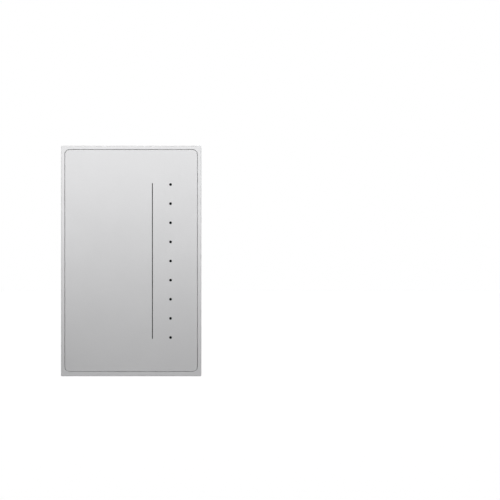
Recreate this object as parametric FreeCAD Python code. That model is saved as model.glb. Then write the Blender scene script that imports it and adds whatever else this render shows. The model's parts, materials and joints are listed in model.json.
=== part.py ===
"""Smart dimmer switch for a single wall box, with a push plate and a slide-to-dim strip.

The switch is drawn as it hangs on the wall, in millimetres. X runs across it, Z runs up and Y runs into the wall.
The wall's surface is the plane Y = 0: the plate stands in front of it (Y below 0) and the rear housing goes into
the wall box (Y above 0). The origin lies on the wall's surface, midway between the two box screws.

It comes apart into a front unit and a base unit. The front unit is the border frame with the floating touch panel,
its light guides and the control board. The base unit is the base plate, the steel strap that is screwed to the wall
box, and the rear housing with the power board and the terminals.
"""

import FreeCAD, Part
import math
import os

from FreeCAD import Vector

# The two screws of a single wall box, and what is sized from them
box_screw_spacing = 83.34
plate_overlap = 18.33
housing_end_gap = 8.67
plate_height = box_screw_spacing + 2 * plate_overlap
housing_height = box_screw_spacing - 2 * housing_end_gap

# Plate and its border frame
plate_width = 73.0
plate_depth = 10.0
frame_land = 1.15
frame_land_bottom = 1.6
frame_wall = 1.6
frame_corner = 0.5
frame_edge = 0.2
bevel_width = 0.9
bevel_depth = 0.3
opening_corner = 3.4
ledge_width = 7.2
ledge_thickness = 1.2

# Touch panel
panel_gap = 0.05
panel_thickness = 1.8
panel_edge = 0.06
press_travel = 0.5
press_clearance = 0.1
rib_height = 1.2
rib_width = 1.0
rib_inset = 1.0
cross_rib_spacing = 40.0

# Slide strip: one thin line and a column of dots, both lit from behind
dot_count = 9
strip_end = 17.835
dot_diameter = 1.45
dots_inset = 6.72
line_to_dots = 9.45
line_width = 0.45
guide_front_depth = 0.8
guide_root = 2.0
guide_clearance = 0.02
guide_bar_width = 3.4
guide_bar_thickness = 0.8
film_thickness = 0.2
film_margin = 1.8
film_hole_margin = 0.25

# Tail of the sensor film and its connector
tail_width = 6.0
tail_inset = 5.5
tail_straight = 0.9
connector_length = 4.0
connector_height = 1.2
connector_side = 1.0
latch_length = 1.0

# Hooks that hold the panel in the frame
hook_spacing = 60.0
hook_length = 6.0
hook_arm = 1.2
hook_reach = 0.8
hook_nose = 0.9
hook_inset = 1.95
hook_flex_room = 0.7
window_clearance = 0.2

# Control board, and what holds it to the frame
board_spacing = 3.0
board_thickness = 1.2
board_side_gap = 4.0
board_end_gap = 4.9
board_corner = 2.0
pad_size = 3.4
pad_inset = 5.5
board_hook_spacing = 40.0
board_hook_width = 4.0
board_hook_arm = 1.2
board_hook_reach = 0.5
board_hook_gap = 0.1

# Parts on the control board
switch_size = 6.0
switch_height = 2.3
switch_offset = -4.0
switch_spacing = 60.0
plunger_size = 3.2
plunger_clearance = 0.1
plunger_depth = 0.6
spring_thickness = 0.25
spring_width = 3.0
spring_length = 5.0
spring_tip = 1.2
spring_offset = 15.0
spring_inset = 6.7
baffle_margin = 2.3
baffle_wall = 1.0
cell_size = 3.0
line_cell_width = 2.6
led_length = 1.6
led_width = 1.2
led_height = 0.6
line_led_count = 8
module_size = (16.0, 0.8, 24.0)
module_inset = 2.0
module_height = -1.0
shield_size = 14.0
shield_height = 1.3
shield_wall = 0.2
shield_margin = 1.0
antenna_track = 0.6
antenna_thickness = 0.05
antenna_turns = 3
main_chip_size = (7.0, 0.9, 7.0)
main_chip_height = 18.0
touch_chip_size = (5.0, 1.4, 4.0)
touch_chip_height = -16.0
chip_gap = 1.2
chip_legs = 4
chip_leg = (0.4, 0.8)

# Base plate, and the catches that hold the front unit on it
base_thickness = 2.4
base_gap = 0.2
catch_height = 1.0
catch_reach = 0.5
catch_clearance = 0.1
catch_length = 8.0
catch_spacing = 36.0
side_catch_spacing = 70.0
stop_rib = (2.0, 6.0)
stop_rib_spacing = 30.0
pry_notch = (10.0, 1.0)
pocket_count = 4
pocket_depth = 0.9
pocket_margin = 2.2
pocket_wall = 3.0

# Steel strap and what passes through it
strap_thickness = 1.2
strap_end_width = 36.0
strap_shoulder_margin = 1.0
strap_margin = 5.0
strap_corner = 2.0
strap_gap = 0.2
box_slot_width = 4.2
box_slot_length = 7.0
box_head_window = (10.0, 12.6)
stake_size = (3.0, 1.6)
stake_across = 26.0
stake_inset = 4.2
stake_clearance = 0.05
ground_tab_width = 11.0
ground_tab_length = 9.0
ground_tab_bend = 1.0
ground_tab_gap = 0.8
ground_relief = 0.6
ground_thread = 3.5
ground_screw_length = 1.8
ground_head_across = 6.35
ground_head_height = 2.6
ground_screw_inset = 4.0

# Rear housing
housing_width = 44.0
housing_depth = 27.0
housing_wall = 1.8
housing_corner = 3.0
housing_edge = 1.0
post_size = 7.0
corner_step = (7.6, 2.6)
housing_thread = 2.5
housing_head = 4.6
housing_head_height = 1.8
thread_clearance = 0.03
hole_clearance = 0.2
vent_count = 6
vent_width = 1.6
vent_length = 14.0
vent_pitch = 4.0
vent_height = 12.0
side_vent_count = 4
side_vent_height = 4.0
side_vent_length = 10.0
rest_rib = (1.2, 4.0)
rest_rib_heights = (-8.0, 18.0)

# Power board and the plug between the boards
power_board_front = 3.0
power_board_thickness = 1.6
power_board_gap = 0.3
link_pins = 6
link_pitch = 2.54
link_width = 5.0
link_pin = 0.64
link_clearance = 0.12
link_base_height = 1.4
link_wall = 0.6
link_end = 0.2
link_reach = 0.8
link_solder_end = 1.2
link_window_gap = 0.6
link_offset = -4.0
link_rise = 3.1

# Terminals
pole_count = 3
terminal_side_room = 8.5
terminal_side_wall = 1.2
strip_gauge = (11.0, 1.6)
strip_gauge_depth = 0.4
strip_gauge_rise = 2.8
terminal_height = 15.3
terminal_recess = 0.6
terminal_clearance = 0.3
wire_entry = 3.8
wire_entry_flare = 0.5
wire_entry_depth = 11.4
clamp_width = 5.6
clamp_height = 6.0
clamp_wall = 0.8
clamp_top_wall = 1.6
clamp_lift = 1.0
clamp_clearance = 0.15
clamp_inset = 4.0
clamp_screw_thread = 4.0
clamp_screw_length = 5.0
clamp_screw_well = 5.0
slot_width = 0.8
slot_depth = 1.0

# Heat sink and the transistors on it
heat_sink_thickness = 2.0
heat_sink_side_gap = 0.1
heat_sink_foot = 8.0
heat_sink_reach = 23.5
heat_sink_edge_gap = 0.6
tongue_size = (3.0, 1.4)
tongue_spacing = 16.0
transistor_body = (10.0, 9.0, 4.4)
transistor_tab = (6.2, 1.3)
transistor_stand = 3.0
transistor_lead = 0.8
transistor_pitch = 2.54
clip_thickness = 0.5
clip_width = 20.0
clip_reach = 10.0

# Other parts on the power board: width, standing height and height on the wall. Their places are shares of the
# housing's inner half width and of the height between the terminals and the heat sink.
transformer_size = (14.0, 12.0, 5.0)
transformer_place = (-0.545, 0.535)
transformer_arm = 2.8
bobbin_height = 10.0
bobbin_stand = 1.0
bobbin_clearance = 0.05
bobbin_pin = 0.7
choke_size = (12.0, 10.0, 9.0)
choke_place = (0.594, 0.549)
choke_flange = 1.8
choke_waist = 1.6
film_capacitor_size = (6.0, 13.0, 11.0)
film_capacitor_place = (-0.74, 0.2)
bulk_capacitor_diameter = 10.0
bulk_capacitor_height = 15.0
bulk_capacitor_place = (-0.1, 0.275)
varistor_diameter = 9.0
varistor_thickness = 3.6
varistor_place = (0.446, 0.09)
fuse_diameter = 4.6
fuse_height = 8.4
fuse_place = (0.718, 0.287)
rectifier_size = (15.0, 10.0, 3.5)
rectifier_place = (-0.396, 0.768)

# How near an edge lies to a face that it counts as being on
edge_tolerance = 1e-6

# Depths, from the front to the wall
plate_front = -plate_depth
panel_front = plate_front + bevel_depth
panel_back = panel_front + panel_thickness
guide_step = panel_front + guide_front_depth
film_back = panel_back + film_thickness
guide_back = film_back + guide_bar_thickness
baffle_front = guide_back + press_travel + press_clearance
ledge_front = panel_back + press_travel + press_clearance
ledge_back = ledge_front + ledge_thickness
board_front = panel_back + board_spacing
board_back = board_front + board_thickness
base_front = -base_thickness
strap_front = -strap_thickness
power_board_back = power_board_front + power_board_thickness
housing_floor = housing_depth - housing_wall
corner_seat = housing_depth - corner_step[1]

# Widths and heights that several pieces share
mouth = (plate_width - 2 * frame_land, plate_height - frame_land - frame_land_bottom)
room = (mouth[0] - 2 * bevel_width, mouth[1] - 2 * bevel_width)
room_corner = opening_corner - bevel_width
room_centre = (frame_land_bottom - frame_land) / 2
panel_size = (room[0] - 2 * panel_gap, room[1] - 2 * panel_gap)
ledge_opening = (room[0] - 2 * ledge_width, room[1] - 2 * ledge_width)
cavity = (plate_width - 2 * frame_wall, plate_height - 2 * frame_wall)
board_size = (cavity[0] - 2 * board_side_gap, cavity[1] - 2 * board_end_gap)
base_size = (cavity[0] - 2 * base_gap, cavity[1] - 2 * base_gap)
pad_spacing = board_size[1] - 2 * pad_inset
spring_spacing = board_size[1] - 2 * spring_inset
strap_width = housing_width
strap_length = base_size[1] - 2 * strap_margin
strap_shoulder = housing_height + 2 * strap_shoulder_margin
stake_spacing = strap_length - 2 * stake_inset
dots_offset = ledge_opening[0] / 2 - dots_inset
line_offset = dots_offset - line_to_dots
dots_length = panel_size[1] - 2 * strip_end
dot_pitch = dots_length / (dot_count - 1)
line_length = dots_length + dot_diameter
root_length = line_length + guide_root
film_left = line_offset - guide_root / 2 - film_margin
film_right = dots_offset + guide_bar_width / 2 + film_margin
film_height = dots_length + guide_bar_width + 2 * film_margin
tail_height = tail_inset - film_height / 2
baffle_left = line_offset - line_cell_width / 2 - baffle_wall
module_place = ((module_size[0] - ledge_opening[0]) / 2 + module_inset, module_height)
hook_x = panel_size[0] / 2 - hook_inset
pad_x = ledge_opening[0] / 2 + pad_size / 2
housing_inside = (housing_width - 2 * housing_wall, housing_height - 2 * housing_wall)
post_x = housing_inside[0] / 2 - post_size / 2 + housing_wall / 2
post_z = housing_inside[1] / 2 - post_size / 2 + housing_wall / 2
power_board_size = (housing_inside[0] - 2 * power_board_gap, housing_inside[1] - 2 * power_board_gap)
link_length = link_pins * link_pitch + 2 * link_end
pole_pitch = (housing_width - 2 * terminal_side_room) / pole_count
terminal_width = pole_count * pole_pitch + 2 * terminal_side_wall
terminal_bottom = -housing_height / 2 + terminal_recess
terminal_top = terminal_bottom + terminal_height
terminal_back = housing_depth - terminal_recess
clamp_front = wire_entry_depth - clamp_wall
clamp_back = wire_entry_depth + wire_entry + clamp_lift + clamp_top_wall
clamp_low = terminal_bottom + clamp_inset
clamp_middle = clamp_low + clamp_height / 2
heat_sink_width = 2 * post_x - post_size - 2 * heat_sink_side_gap
transistor_spacing = heat_sink_width / 2
heat_sink_top = housing_inside[1] / 2 - heat_sink_edge_gap
heat_sink_face = heat_sink_top - heat_sink_thickness
link_place = (link_offset, terminal_top + link_rise)
tongue_z = heat_sink_top - heat_sink_foot + heat_sink_thickness
tab_top = -housing_height / 2 - ground_tab_gap
tab_face = tab_top - strap_thickness
ground_screw_y = ground_tab_length - ground_screw_inset


def spread(count, pitch):
    """Places of `count` things set `pitch` apart and centred on 0."""
    return [(i - (count - 1) / 2) * pitch for i in range(count)]


def corners(x, z):
    """The four corners of a rectangle with half sides x and z."""
    return [(side_x * x, side_z * z) for side_x in (-1, 1) for side_z in (-1, 1)]


def block(x, y, z):
    """A plain block, given as its two ends along each axis, in either order."""
    low = Vector(min(x), min(y), min(z))
    high = Vector(max(x), max(y), max(z))
    return Part.makeBox(*(high - low), low)


def slab(width, height, front, back, x=0.0, z=0.0):
    """A square-cornered plate centred on x and z, from depth front to depth back."""
    return block((x - width / 2, x + width / 2), (front, back), (z - height / 2, z + height / 2))


def rounded_slab(width, height, radius, front, back, x=0.0, z=0.0):
    """The same plate with its four corners rounded."""
    body = slab(width, height, front, back, x, z)
    along = [e for e in body.Edges if e.BoundBox.YLength > abs(back - front) / 2]
    return body.makeFillet(radius, along)


def standing(size, place, foot):
    """A block of (width, standing height, height on the wall) on the depth foot."""
    return slab(size[0], size[2], foot, foot + size[1], *place)


def rod(diameter, front, back, x=0.0, z=0.0):
    """A round bar along Y."""
    return Part.makeCylinder(diameter / 2, back - front, Vector(x, front, z), Vector(0, 1, 0))


def prism(points, direction):
    """A straight bar whose section is the closed polygon through these points."""
    return Part.Face(Part.makePolygon(points + points[:1])).extrude(direction)


def obround(width, length, front, back, x=0.0, z=0.0):
    """An upright slot shape with round ends, length overall."""
    radius = width / 2
    reach = length / 2 - radius
    right = (Vector(x + radius, front, z - reach), Vector(x + radius, front, z + reach))
    left = (Vector(x - radius, front, z + reach), Vector(x - radius, front, z - reach))
    crown = Part.Arc(right[1], Vector(x, front, z + reach + radius), left[0]).toShape()
    foot = Part.Arc(left[1], Vector(x, front, z - reach - radius), right[0]).toShape()
    outline = Part.Wire([Part.makeLine(*right), crown, Part.makeLine(*left), foot])
    return Part.Face(outline).extrude(Vector(0, back - front, 0))


def joined(shapes):
    """The shapes fused into one, with the seams between their flat faces taken out."""
    first, *others = shapes
    return first.multiFuse(others).removeSplitter()


def without(shape, tools):
    """The shape with every tool cut out of it."""
    return shape.cut(Part.makeCompound(tools))


def group(shapes):
    """Separate solids that share one node."""
    return Part.makeCompound([solid for shape in shapes for solid in shape.Solids])


def housing_screw_places(x, z):
    """The two opposite corners that take a screw, as seen from the front: upper left and lower right."""
    return [(-x, z), (x, -z)]


def housing_screw(x, z):
    """A plain-headed screw whose head seats in the corner's step and whose shank ends flush with the strap."""
    profile = [
        (0.0, strap_front),
        (housing_thread / 2, strap_front),
        (housing_thread / 2, corner_seat),
        (housing_head / 2, corner_seat),
        (housing_head / 2, corner_seat + housing_head_height),
        (0.0, corner_seat + housing_head_height),
    ]
    points = [Vector(x + radius, y, z) for radius, y in profile]
    half_section = Part.Face(Part.makePolygon(points + points[:1]))
    return half_section.revolve(Vector(x, 0, z), Vector(0, 1, 0), 360)


def front_rim(body, front):
    """The edges of a plate's front face."""
    return [e for e in body.Edges if e.BoundBox.YMax < front + edge_tolerance]


def hook_places():
    """Side and height of each of the panel's hooks."""
    return [(side, room_centre + z) for side in (-1, 1) for z in spread(2, hook_spacing)]


def catch(side, x, grow=0.0):
    """A wedge-shaped catch on the frame's top or bottom wall, or its groove when it is grown."""
    middle = base_front / 2
    root = side * cavity[1] / 2
    half = catch_height / 2 + grow
    length = catch_length + 2 * grow
    section = [(middle - half, root), (middle, root - side * (catch_reach + grow)), (middle + half, root)]
    return prism([Vector(x - length / 2, y, z) for y, z in section], Vector(length, 0, 0))


def side_catch(side, z, grow=0.0):
    """The same catch, or its groove, on one of the frame's side walls."""
    middle = base_front / 2
    root = side * cavity[0] / 2
    half = catch_height / 2 + grow
    length = catch_length + 2 * grow
    section = [(root, middle - half), (root - side * (catch_reach + grow), middle), (root, middle + half)]
    return prism([Vector(x, y, z - length / 2) for x, y in section], Vector(0, 0, length))


def catches(grow=0.0):
    """All the catches round the frame, or their grooves in the base plate when grown."""
    bars = []
    for side in (-1, 1):
        bars += [catch(side, x, grow) for x in spread(2, catch_spacing)]
        bars += [side_catch(side, z, grow) for z in spread(2, side_catch_spacing)]
    return bars


def board_hook(side, x):
    """Hook on the frame's ledge that snaps over the top or bottom edge of the control board."""
    edge = side * (board_size[1] / 2 + board_hook_gap)
    arm = edge + side * board_hook_arm
    nose = edge - side * (board_hook_reach + board_hook_gap)
    tip = board_back + board_hook_arm / 2
    section = [(ledge_back, edge), (board_back, edge), (board_back, nose), (tip, edge), (tip, arm), (ledge_back, arm)]
    return prism([Vector(x - board_hook_width / 2, y, z) for y, z in section], Vector(board_hook_width, 0, 0))


def frame_fittings():
    """What is moulded on the inside of the frame: catches, board pads and hooks, and stops for the base plate."""
    pads = [(side * pad_x, z) for side in (-1, 1) for z in spread(3, pad_spacing / 2)]
    fittings = catches()
    fittings += [slab(pad_size, pad_size, ledge_back, board_front, x, z) for x, z in pads]
    for side in (-1, 1):
        fittings += [board_hook(side, x) for x in spread(2, board_hook_spacing)]
        wall = side * (cavity[0] - stop_rib[0]) / 2
        fittings += [slab(*stop_rib, ledge_back, base_front, wall, z) for z in spread(4, stop_rib_spacing)]
    return fittings


def cover_frame():
    """Border frame: a narrow land, a bevel down to the panel, the ledge behind it and a thin skirt to the wall."""
    body = rounded_slab(plate_width, plate_height, frame_corner, plate_front, 0)
    body = body.makeChamfer(frame_edge, front_rim(body, plate_front))
    body = body.cut(rounded_slab(*room, room_corner, plate_front, ledge_front, z=room_centre))
    inside = plate_width / 2 - frame_land
    lip = [e for e in front_rim(body, plate_front) if max(-e.BoundBox.XMin, e.BoundBox.XMax) < inside]
    body = body.makeChamfer(bevel_depth, bevel_width, lip)
    body = body.cut(slab(*ledge_opening, ledge_front, ledge_back, z=room_centre)).cut(slab(*cavity, ledge_back, 0))
    body = joined([body] + frame_fittings())
    cuts = []
    for side, z in hook_places():
        span = (side * (hook_x - hook_arm - hook_flex_room), side * (hook_x + window_clearance))
        reach = hook_length / 2 + window_clearance
        cuts.append(block(span, (ledge_front, ledge_back), (z - reach, z + reach)))
    cuts.append(slab(pry_notch[0], 2 * frame_wall, -pry_notch[1], 0, 0, -plate_height / 2))
    return without(body, cuts)


def dot_places():
    """Heights of the dots."""
    return spread(dot_count, dot_pitch)


def hook(side, z):
    """One hook of the panel: an arm through the ledge's window with a nose that catches behind the ledge."""
    arm_in = hook_x - hook_arm
    nose = hook_x + hook_reach
    tip = ledge_back + hook_nose
    section = [
        (arm_in, panel_back),
        (hook_x, panel_back),
        (hook_x, ledge_back),
        (nose, ledge_back),
        (nose, ledge_back + hook_nose / 3),
        (arm_in + hook_arm / 2, tip),
        (arm_in, tip),
    ]
    return prism([Vector(side * x, y, z - hook_length / 2) for x, y in section], Vector(0, 0, hook_length))


def panel_ribs():
    """Ring of ribs behind the panel with two cross ribs beside the strip."""
    outer = (ledge_opening[0] - 2 * rib_inset, ledge_opening[1] - 2 * rib_inset)
    inner = (outer[0] - 2 * rib_width, outer[1] - 2 * rib_width)
    back = panel_back + rib_height
    ring = slab(*outer, panel_back, back, z=room_centre).cut(slab(*inner, panel_back, back, z=room_centre))
    span = (-inner[0] / 2 - rib_width / 2, film_left - rib_width)
    heights = spread(2, cross_rib_spacing)
    return [ring] + [block(span, (panel_back, back), (z - rib_width / 2, z + rib_width / 2)) for z in heights]


def touch_panel():
    """Push plate: a flat face with the line and the dots let in, ribs behind it and four hooks."""
    face = rounded_slab(*panel_size, room_corner - panel_gap, panel_front, panel_back, z=room_centre)
    face = face.makeChamfer(panel_edge, front_rim(face, panel_front))
    body = joined([face] + panel_ribs() + [hook(side, z) for side, z in hook_places()])
    cuts = []
    for z in dot_places():
        cuts.append(rod(dot_diameter, panel_front, guide_step, dots_offset, z))
        cuts.append(slab(guide_root, guide_root, guide_step, panel_back, dots_offset, z))
    cuts.append(obround(line_width, line_length, panel_front, guide_step, line_offset))
    cuts.append(slab(guide_root, root_length, guide_step, panel_back, line_offset))
    return without(body, cuts)


def line_light_guide():
    """Smoked blade that fills the line, on a wider root that takes in the light."""
    gap = 2 * guide_clearance
    blade = obround(line_width - gap, line_length - gap, panel_front, guide_step, line_offset)
    root = slab(guide_root - gap, root_length - gap, guide_step, guide_back, line_offset)
    return joined([blade, root])


def dot_light_guide():
    """Comb of smoked light pipes: a bar behind the panel with a square root and a round pin for each dot."""
    gap = 2 * guide_clearance
    bar_height = dots_length + guide_bar_width
    pieces = [slab(guide_bar_width, bar_height, film_back, guide_back, dots_offset)]
    for z in dot_places():
        pieces.append(slab(guide_root - gap, guide_root - gap, guide_step, film_back, dots_offset, z))
        pieces.append(rod(dot_diameter - gap, panel_front, guide_step, dots_offset, z))
    return joined(pieces)


def slide_sensor_film():
    """Thin sensing film stuck to the back of the panel along the strip."""
    film = slab(film_right - film_left, film_height, panel_back, film_back, (film_left + film_right) / 2)
    hole = guide_root + 2 * film_hole_margin
    holes = [slab(hole, hole, panel_back, film_back, dots_offset, z) for z in dot_places()]
    holes.append(slab(hole, root_length + 2 * film_hole_margin, panel_back, film_back, line_offset))
    return without(film, holes)


def tail_drop():
    """Radius of each of the two quarter turns in the film's tail."""
    return (board_front - connector_height / 2 - panel_back - film_thickness / 2) / 2


def tail_edge(offset):
    """One edge of the tail's S bend, offset from its centre line, with its two ends."""
    radius = tail_drop()
    bottom = tail_height - tail_width / 2
    high = panel_back + film_thickness / 2
    low = high + 2 * radius
    turn = film_left - tail_straight
    diagonal = math.sqrt(0.5)
    first_arm = (radius - offset) * diagonal
    second_arm = (radius + offset) * diagonal
    start = Vector(film_left, high + offset, bottom)
    first = Vector(turn, high + offset, bottom)
    first_middle = Vector(turn - first_arm, high + radius - first_arm, bottom)
    centre = Vector(turn - radius + offset, high + radius, bottom)
    second_middle = Vector(turn - 2 * radius + second_arm, high + radius + second_arm, bottom)
    second = Vector(turn - 2 * radius, low + offset, bottom)
    end = Vector(turn - 2 * radius - tail_straight, low + offset, bottom)
    pieces = [
        Part.makeLine(start, first),
        Part.Arc(first, first_middle, centre).toShape(),
        Part.Arc(centre, second_middle, second).toShape(),
        Part.makeLine(second, end),
    ]
    return pieces, start, end


def sensor_flex_tail():
    """The film's flexible tail, bent in an S from the panel to the connector on the board."""
    front, front_start, front_end = tail_edge(-film_thickness / 2)
    back, back_start, back_end = tail_edge(film_thickness / 2)
    caps = [Part.makeLine(front_start, back_start), Part.makeLine(front_end, back_end)]
    section = Part.Wire(Part.__sortEdges__(front + back + caps))
    return Part.Face(section).extrude(Vector(0, 0, tail_width))


def flex_connector():
    """Low connector on the board, with a slot for the film's tail and a latch bar behind it."""
    right = film_left - tail_straight - 2 * tail_drop()
    left = right - connector_length
    front = board_front - connector_height
    middle = board_front - connector_height / 2
    reach = tail_width / 2 + connector_side
    body = block((left, right), (front, board_front), (tail_height - reach, tail_height + reach))
    slot = block((right - tail_straight, right), (middle - film_thickness / 2, middle + film_thickness / 2),
                 (tail_height - tail_width / 2, tail_height + tail_width / 2))
    latch = block((left, left + latch_length), (front, middle),
                  (tail_height - reach - connector_side / 2, tail_height + reach + connector_side / 2))
    return joined([body.cut(slot), latch])


def light_baffle():
    """Black spacer that keeps each dot's light to its own cell, with one long cell for the line."""
    right = dots_offset + cell_size / 2 + baffle_wall
    height = line_length + 2 * baffle_margin
    body = slab(right - baffle_left, height, baffle_front, board_front, (baffle_left + right) / 2)
    cells = [slab(cell_size, cell_size, baffle_front, board_front, dots_offset, z) for z in dot_places()]
    cells.append(slab(line_cell_width, line_length, baffle_front, board_front, line_offset))
    return without(body, cells)


def led(x, z):
    """One small surface-mounted light."""
    return slab(led_length, led_width, board_front - led_height, board_front, x, z)


def indicator_leds():
    """One light behind each dot."""
    return group([led(dots_offset, z) for z in dot_places()])


def line_leds():
    """The row of lights behind the line."""
    return group([led(line_offset, z) for z in spread(line_led_count, dots_length / line_led_count)])


def control_board():
    """Printed board behind the panel, with two relief windows for the heads of the box screws."""
    board = rounded_slab(*board_size, board_corner, board_front, board_back)
    heads = spread(2, box_screw_spacing)
    return without(board, [slab(*box_head_window, board_front, board_back, 0, z) for z in heads])


def switch_bodies():
    """Two push switches that the panel works, each a square body with a well for its plunger."""
    front = board_front - switch_height
    well_floor = front + plunger_depth + press_travel + press_clearance
    well_size = plunger_size + 2 * plunger_clearance
    bodies = []
    for z in spread(2, switch_spacing):
        body = slab(switch_size, switch_size, front, board_front, switch_offset, z)
        bodies.append(body.cut(slab(well_size, well_size, front, well_floor, switch_offset, z)))
    return group(bodies)


def switch_plungers():
    """The switches' plungers, each with its front face against the back of the panel."""
    back = board_front - switch_height + plunger_depth
    return group([
        slab(plunger_size, plunger_size, panel_back, back, switch_offset, z) for z in spread(2, switch_spacing)
    ])


def spring_leaf(side, z):
    """Leaf spring on the board: a flat foot, a folded heel, an arm that rises to the panel and a turned-down tip."""
    x = side * spring_offset
    heel = x + side * spring_length / 2
    toe = x - side * spring_length / 2
    crest = toe + side * spring_tip
    thickness = spring_thickness
    fold = board_front - 2 * thickness
    droop = panel_back + spring_tip / 2
    section = [
        (toe, board_front),
        (heel, board_front),
        (heel, fold - thickness),
        (crest, panel_back),
        (toe, droop),
        (toe, droop + thickness),
        (crest, panel_back + thickness),
        (heel - side * thickness, fold),
        (heel - side * thickness, board_front - thickness),
        (toe, board_front - thickness),
    ]
    return prism([Vector(across, y, z - spring_width / 2) for across, y in section], Vector(0, 0, spring_width))


def return_springs():
    """Four leaf springs near the board's ends that push the panel out again."""
    return group([spring_leaf(side, z) for side in (-1, 1) for z in spread(2, spring_spacing)])


def module_front():
    """Depth of the wireless module's front face."""
    return board_front - module_size[1]


def wireless_module():
    """Small board of the wireless module, soldered flat on the control board."""
    return standing(module_size, module_place, module_front())


def module_shield():
    """Drawn metal can over the module's chips."""
    x, z = module_place
    z += shield_size / 2 + shield_margin - module_size[2] / 2
    front = module_front() - shield_height
    inner = shield_size - 2 * shield_wall
    can = slab(shield_size, shield_size, front, module_front(), x, z)
    return can.cut(slab(inner, inner, front + shield_wall, module_front(), x, z))


def antenna_trace():
    """Printed antenna: a copper line that runs to and fro across the free end of the module."""
    x, z = module_place
    depth = (module_front() - antenna_thickness, module_front())
    top = z + module_size[2] / 2 - antenna_track
    free = module_size[2] - shield_size - 2 * shield_margin - 2 * antenna_track
    step = free / (2 * antenna_turns - 1)
    half = module_size[0] / 2 - antenna_track
    pieces = []
    for i in range(2 * antenna_turns):
        level = top - i * step
        pieces.append(block((x - half, x + half), depth, (level - antenna_track, level)))
        if i:
            edge = x + half if i % 2 else x - half
            inward = edge - math.copysign(antenna_track, edge - x)
            pieces.append(block((edge, inward), depth, (level - antenna_track, level + step)))
    return joined(pieces)


def microcontroller():
    """Main chip of the control board, in a flat package without legs."""
    x = baffle_left - chip_gap - main_chip_size[0] / 2
    return standing(main_chip_size, (x, main_chip_height), board_front - main_chip_size[1])


def touch_controller():
    """Chip that reads the sensor film, with legs along both sides."""
    width, height, length = touch_chip_size
    x, z = baffle_left - chip_gap - width / 2, touch_chip_height
    leg_width, leg_reach = chip_leg
    pieces = [slab(width, length, board_front - height, board_front - leg_width / 2, x, z)]
    reach = length / 2 + leg_reach
    for dx in spread(chip_legs, width / chip_legs):
        leg = (x + dx - leg_width / 2, x + dx + leg_width / 2)
        pieces.append(block(leg, (board_front - height / 2, board_front), (z - reach, z + reach)))
    return joined(pieces)


def link_places():
    """Pins of the plug that joins the two boards."""
    return [(link_place[0] + dx, link_place[1]) for dx in spread(link_pins, link_pitch)]


def link_socket():
    """Socket on the back of the control board that reaches through the base plate and the strap."""
    back = power_board_front - link_base_height
    body = slab(link_length, link_width, board_back, back, *link_place)
    side = link_pin + 2 * link_clearance
    return without(body, [slab(side, side, board_back + link_wall, back, x, z) for x, z in link_places()])


def link_header():
    """Plastic base of the pin row on the power board."""
    front = power_board_front - link_base_height
    body = slab(link_length, link_width, front, power_board_front, *link_place)
    return without(body, [slab(link_pin, link_pin, front, power_board_front, x, z) for x, z in link_places()])


def link_header_pins():
    """The pins, from the socket through their base and the power board."""
    front = board_back + link_reach
    back = power_board_back + link_solder_end
    return group([slab(link_pin, link_pin, front, back, x, z) for x, z in link_places()])


def link_window(front, back):
    """Room for the socket where it passes through a plate."""
    gap = 2 * link_window_gap
    return slab(link_length + gap, link_width + gap, front, back, *link_place)


def stakes(grow, front, back):
    """Stakes of the base plate that hold the strap, or their slots when grown."""
    size = (stake_size[0] + 2 * grow, stake_size[1] + 2 * grow)
    return [slab(*size, front, back, x, z) for x, z in corners(stake_across / 2, stake_spacing / 2)]


def strap_plan(grow, front, back):
    """The strap's outline, wide at the housing with narrower ends and clipped corners, grown by grow."""
    half, end_half = strap_width / 2, strap_end_width / 2
    shoulder, end = strap_shoulder / 2, strap_length / 2
    quarter = [
        (half, shoulder),
        (end_half, shoulder + half - end_half),
        (end_half, end - strap_corner),
        (end_half - strap_corner, end),
    ]
    upper = [(x + grow, z + grow) for x, z in quarter]
    right = [(x, -z) for x, z in reversed(upper)] + upper
    left = [(-x, -z) for x, z in right]
    return prism([Vector(x, front, z) for x, z in right + left], Vector(0, back - front, 0))


def pockets():
    """Pockets in the base plate's back, in a column on each side of the strap."""
    width = (base_size[0] - strap_width) / 2 - 2 * pocket_margin
    pitch = (base_size[1] - pocket_wall) / pocket_count
    across = (base_size[0] + strap_width) / 4
    return [slab(width, pitch - pocket_wall, -pocket_depth, 0, side * across, z)
            for side in (-1, 1) for z in spread(pocket_count, pitch)]


def base_plate():
    """Moulded plate behind the front unit, with the strap let into its back and stakes that hold it there."""
    body = slab(*base_size, base_front, 0)
    cuts = [strap_plan(strap_gap, strap_front, 0), link_window(base_front, strap_front)]
    cuts += catches(catch_clearance) + pockets()
    cuts += [slab(*box_head_window, base_front, strap_front, 0, z) for z in spread(2, box_screw_spacing)]
    return joined([without(body, cuts)] + stakes(0.0, strap_front, 0))


def ground_tab():
    """Tab of the strap, bent back into the box below the housing for the earth wire."""
    inner, outer = ground_tab_bend, ground_tab_bend + strap_thickness
    foot = tab_top - outer
    diagonal = math.sqrt(0.5)

    def at(y, z):
        """A point of the tab's section."""
        return Vector(-ground_tab_width / 2, y, z)

    outer_middle = at(inner - outer * diagonal, foot + outer * diagonal)
    inner_middle = at(inner - inner * diagonal, foot + inner * diagonal)
    section = Part.Wire([
        Part.makeLine(at(0, foot), at(strap_front, foot)),
        Part.Arc(at(strap_front, foot), outer_middle, at(inner, foot + outer)).toShape(),
        Part.makeLine(at(inner, foot + outer), at(ground_tab_length, foot + outer)),
        Part.makeLine(at(ground_tab_length, foot + outer), at(ground_tab_length, foot + inner)),
        Part.makeLine(at(ground_tab_length, foot + inner), at(inner, foot + inner)),
        Part.Arc(at(inner, foot + inner), inner_middle, at(0, foot)).toShape(),
    ])
    return Part.Face(section).extrude(Vector(ground_tab_width, 0, 0))


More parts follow.
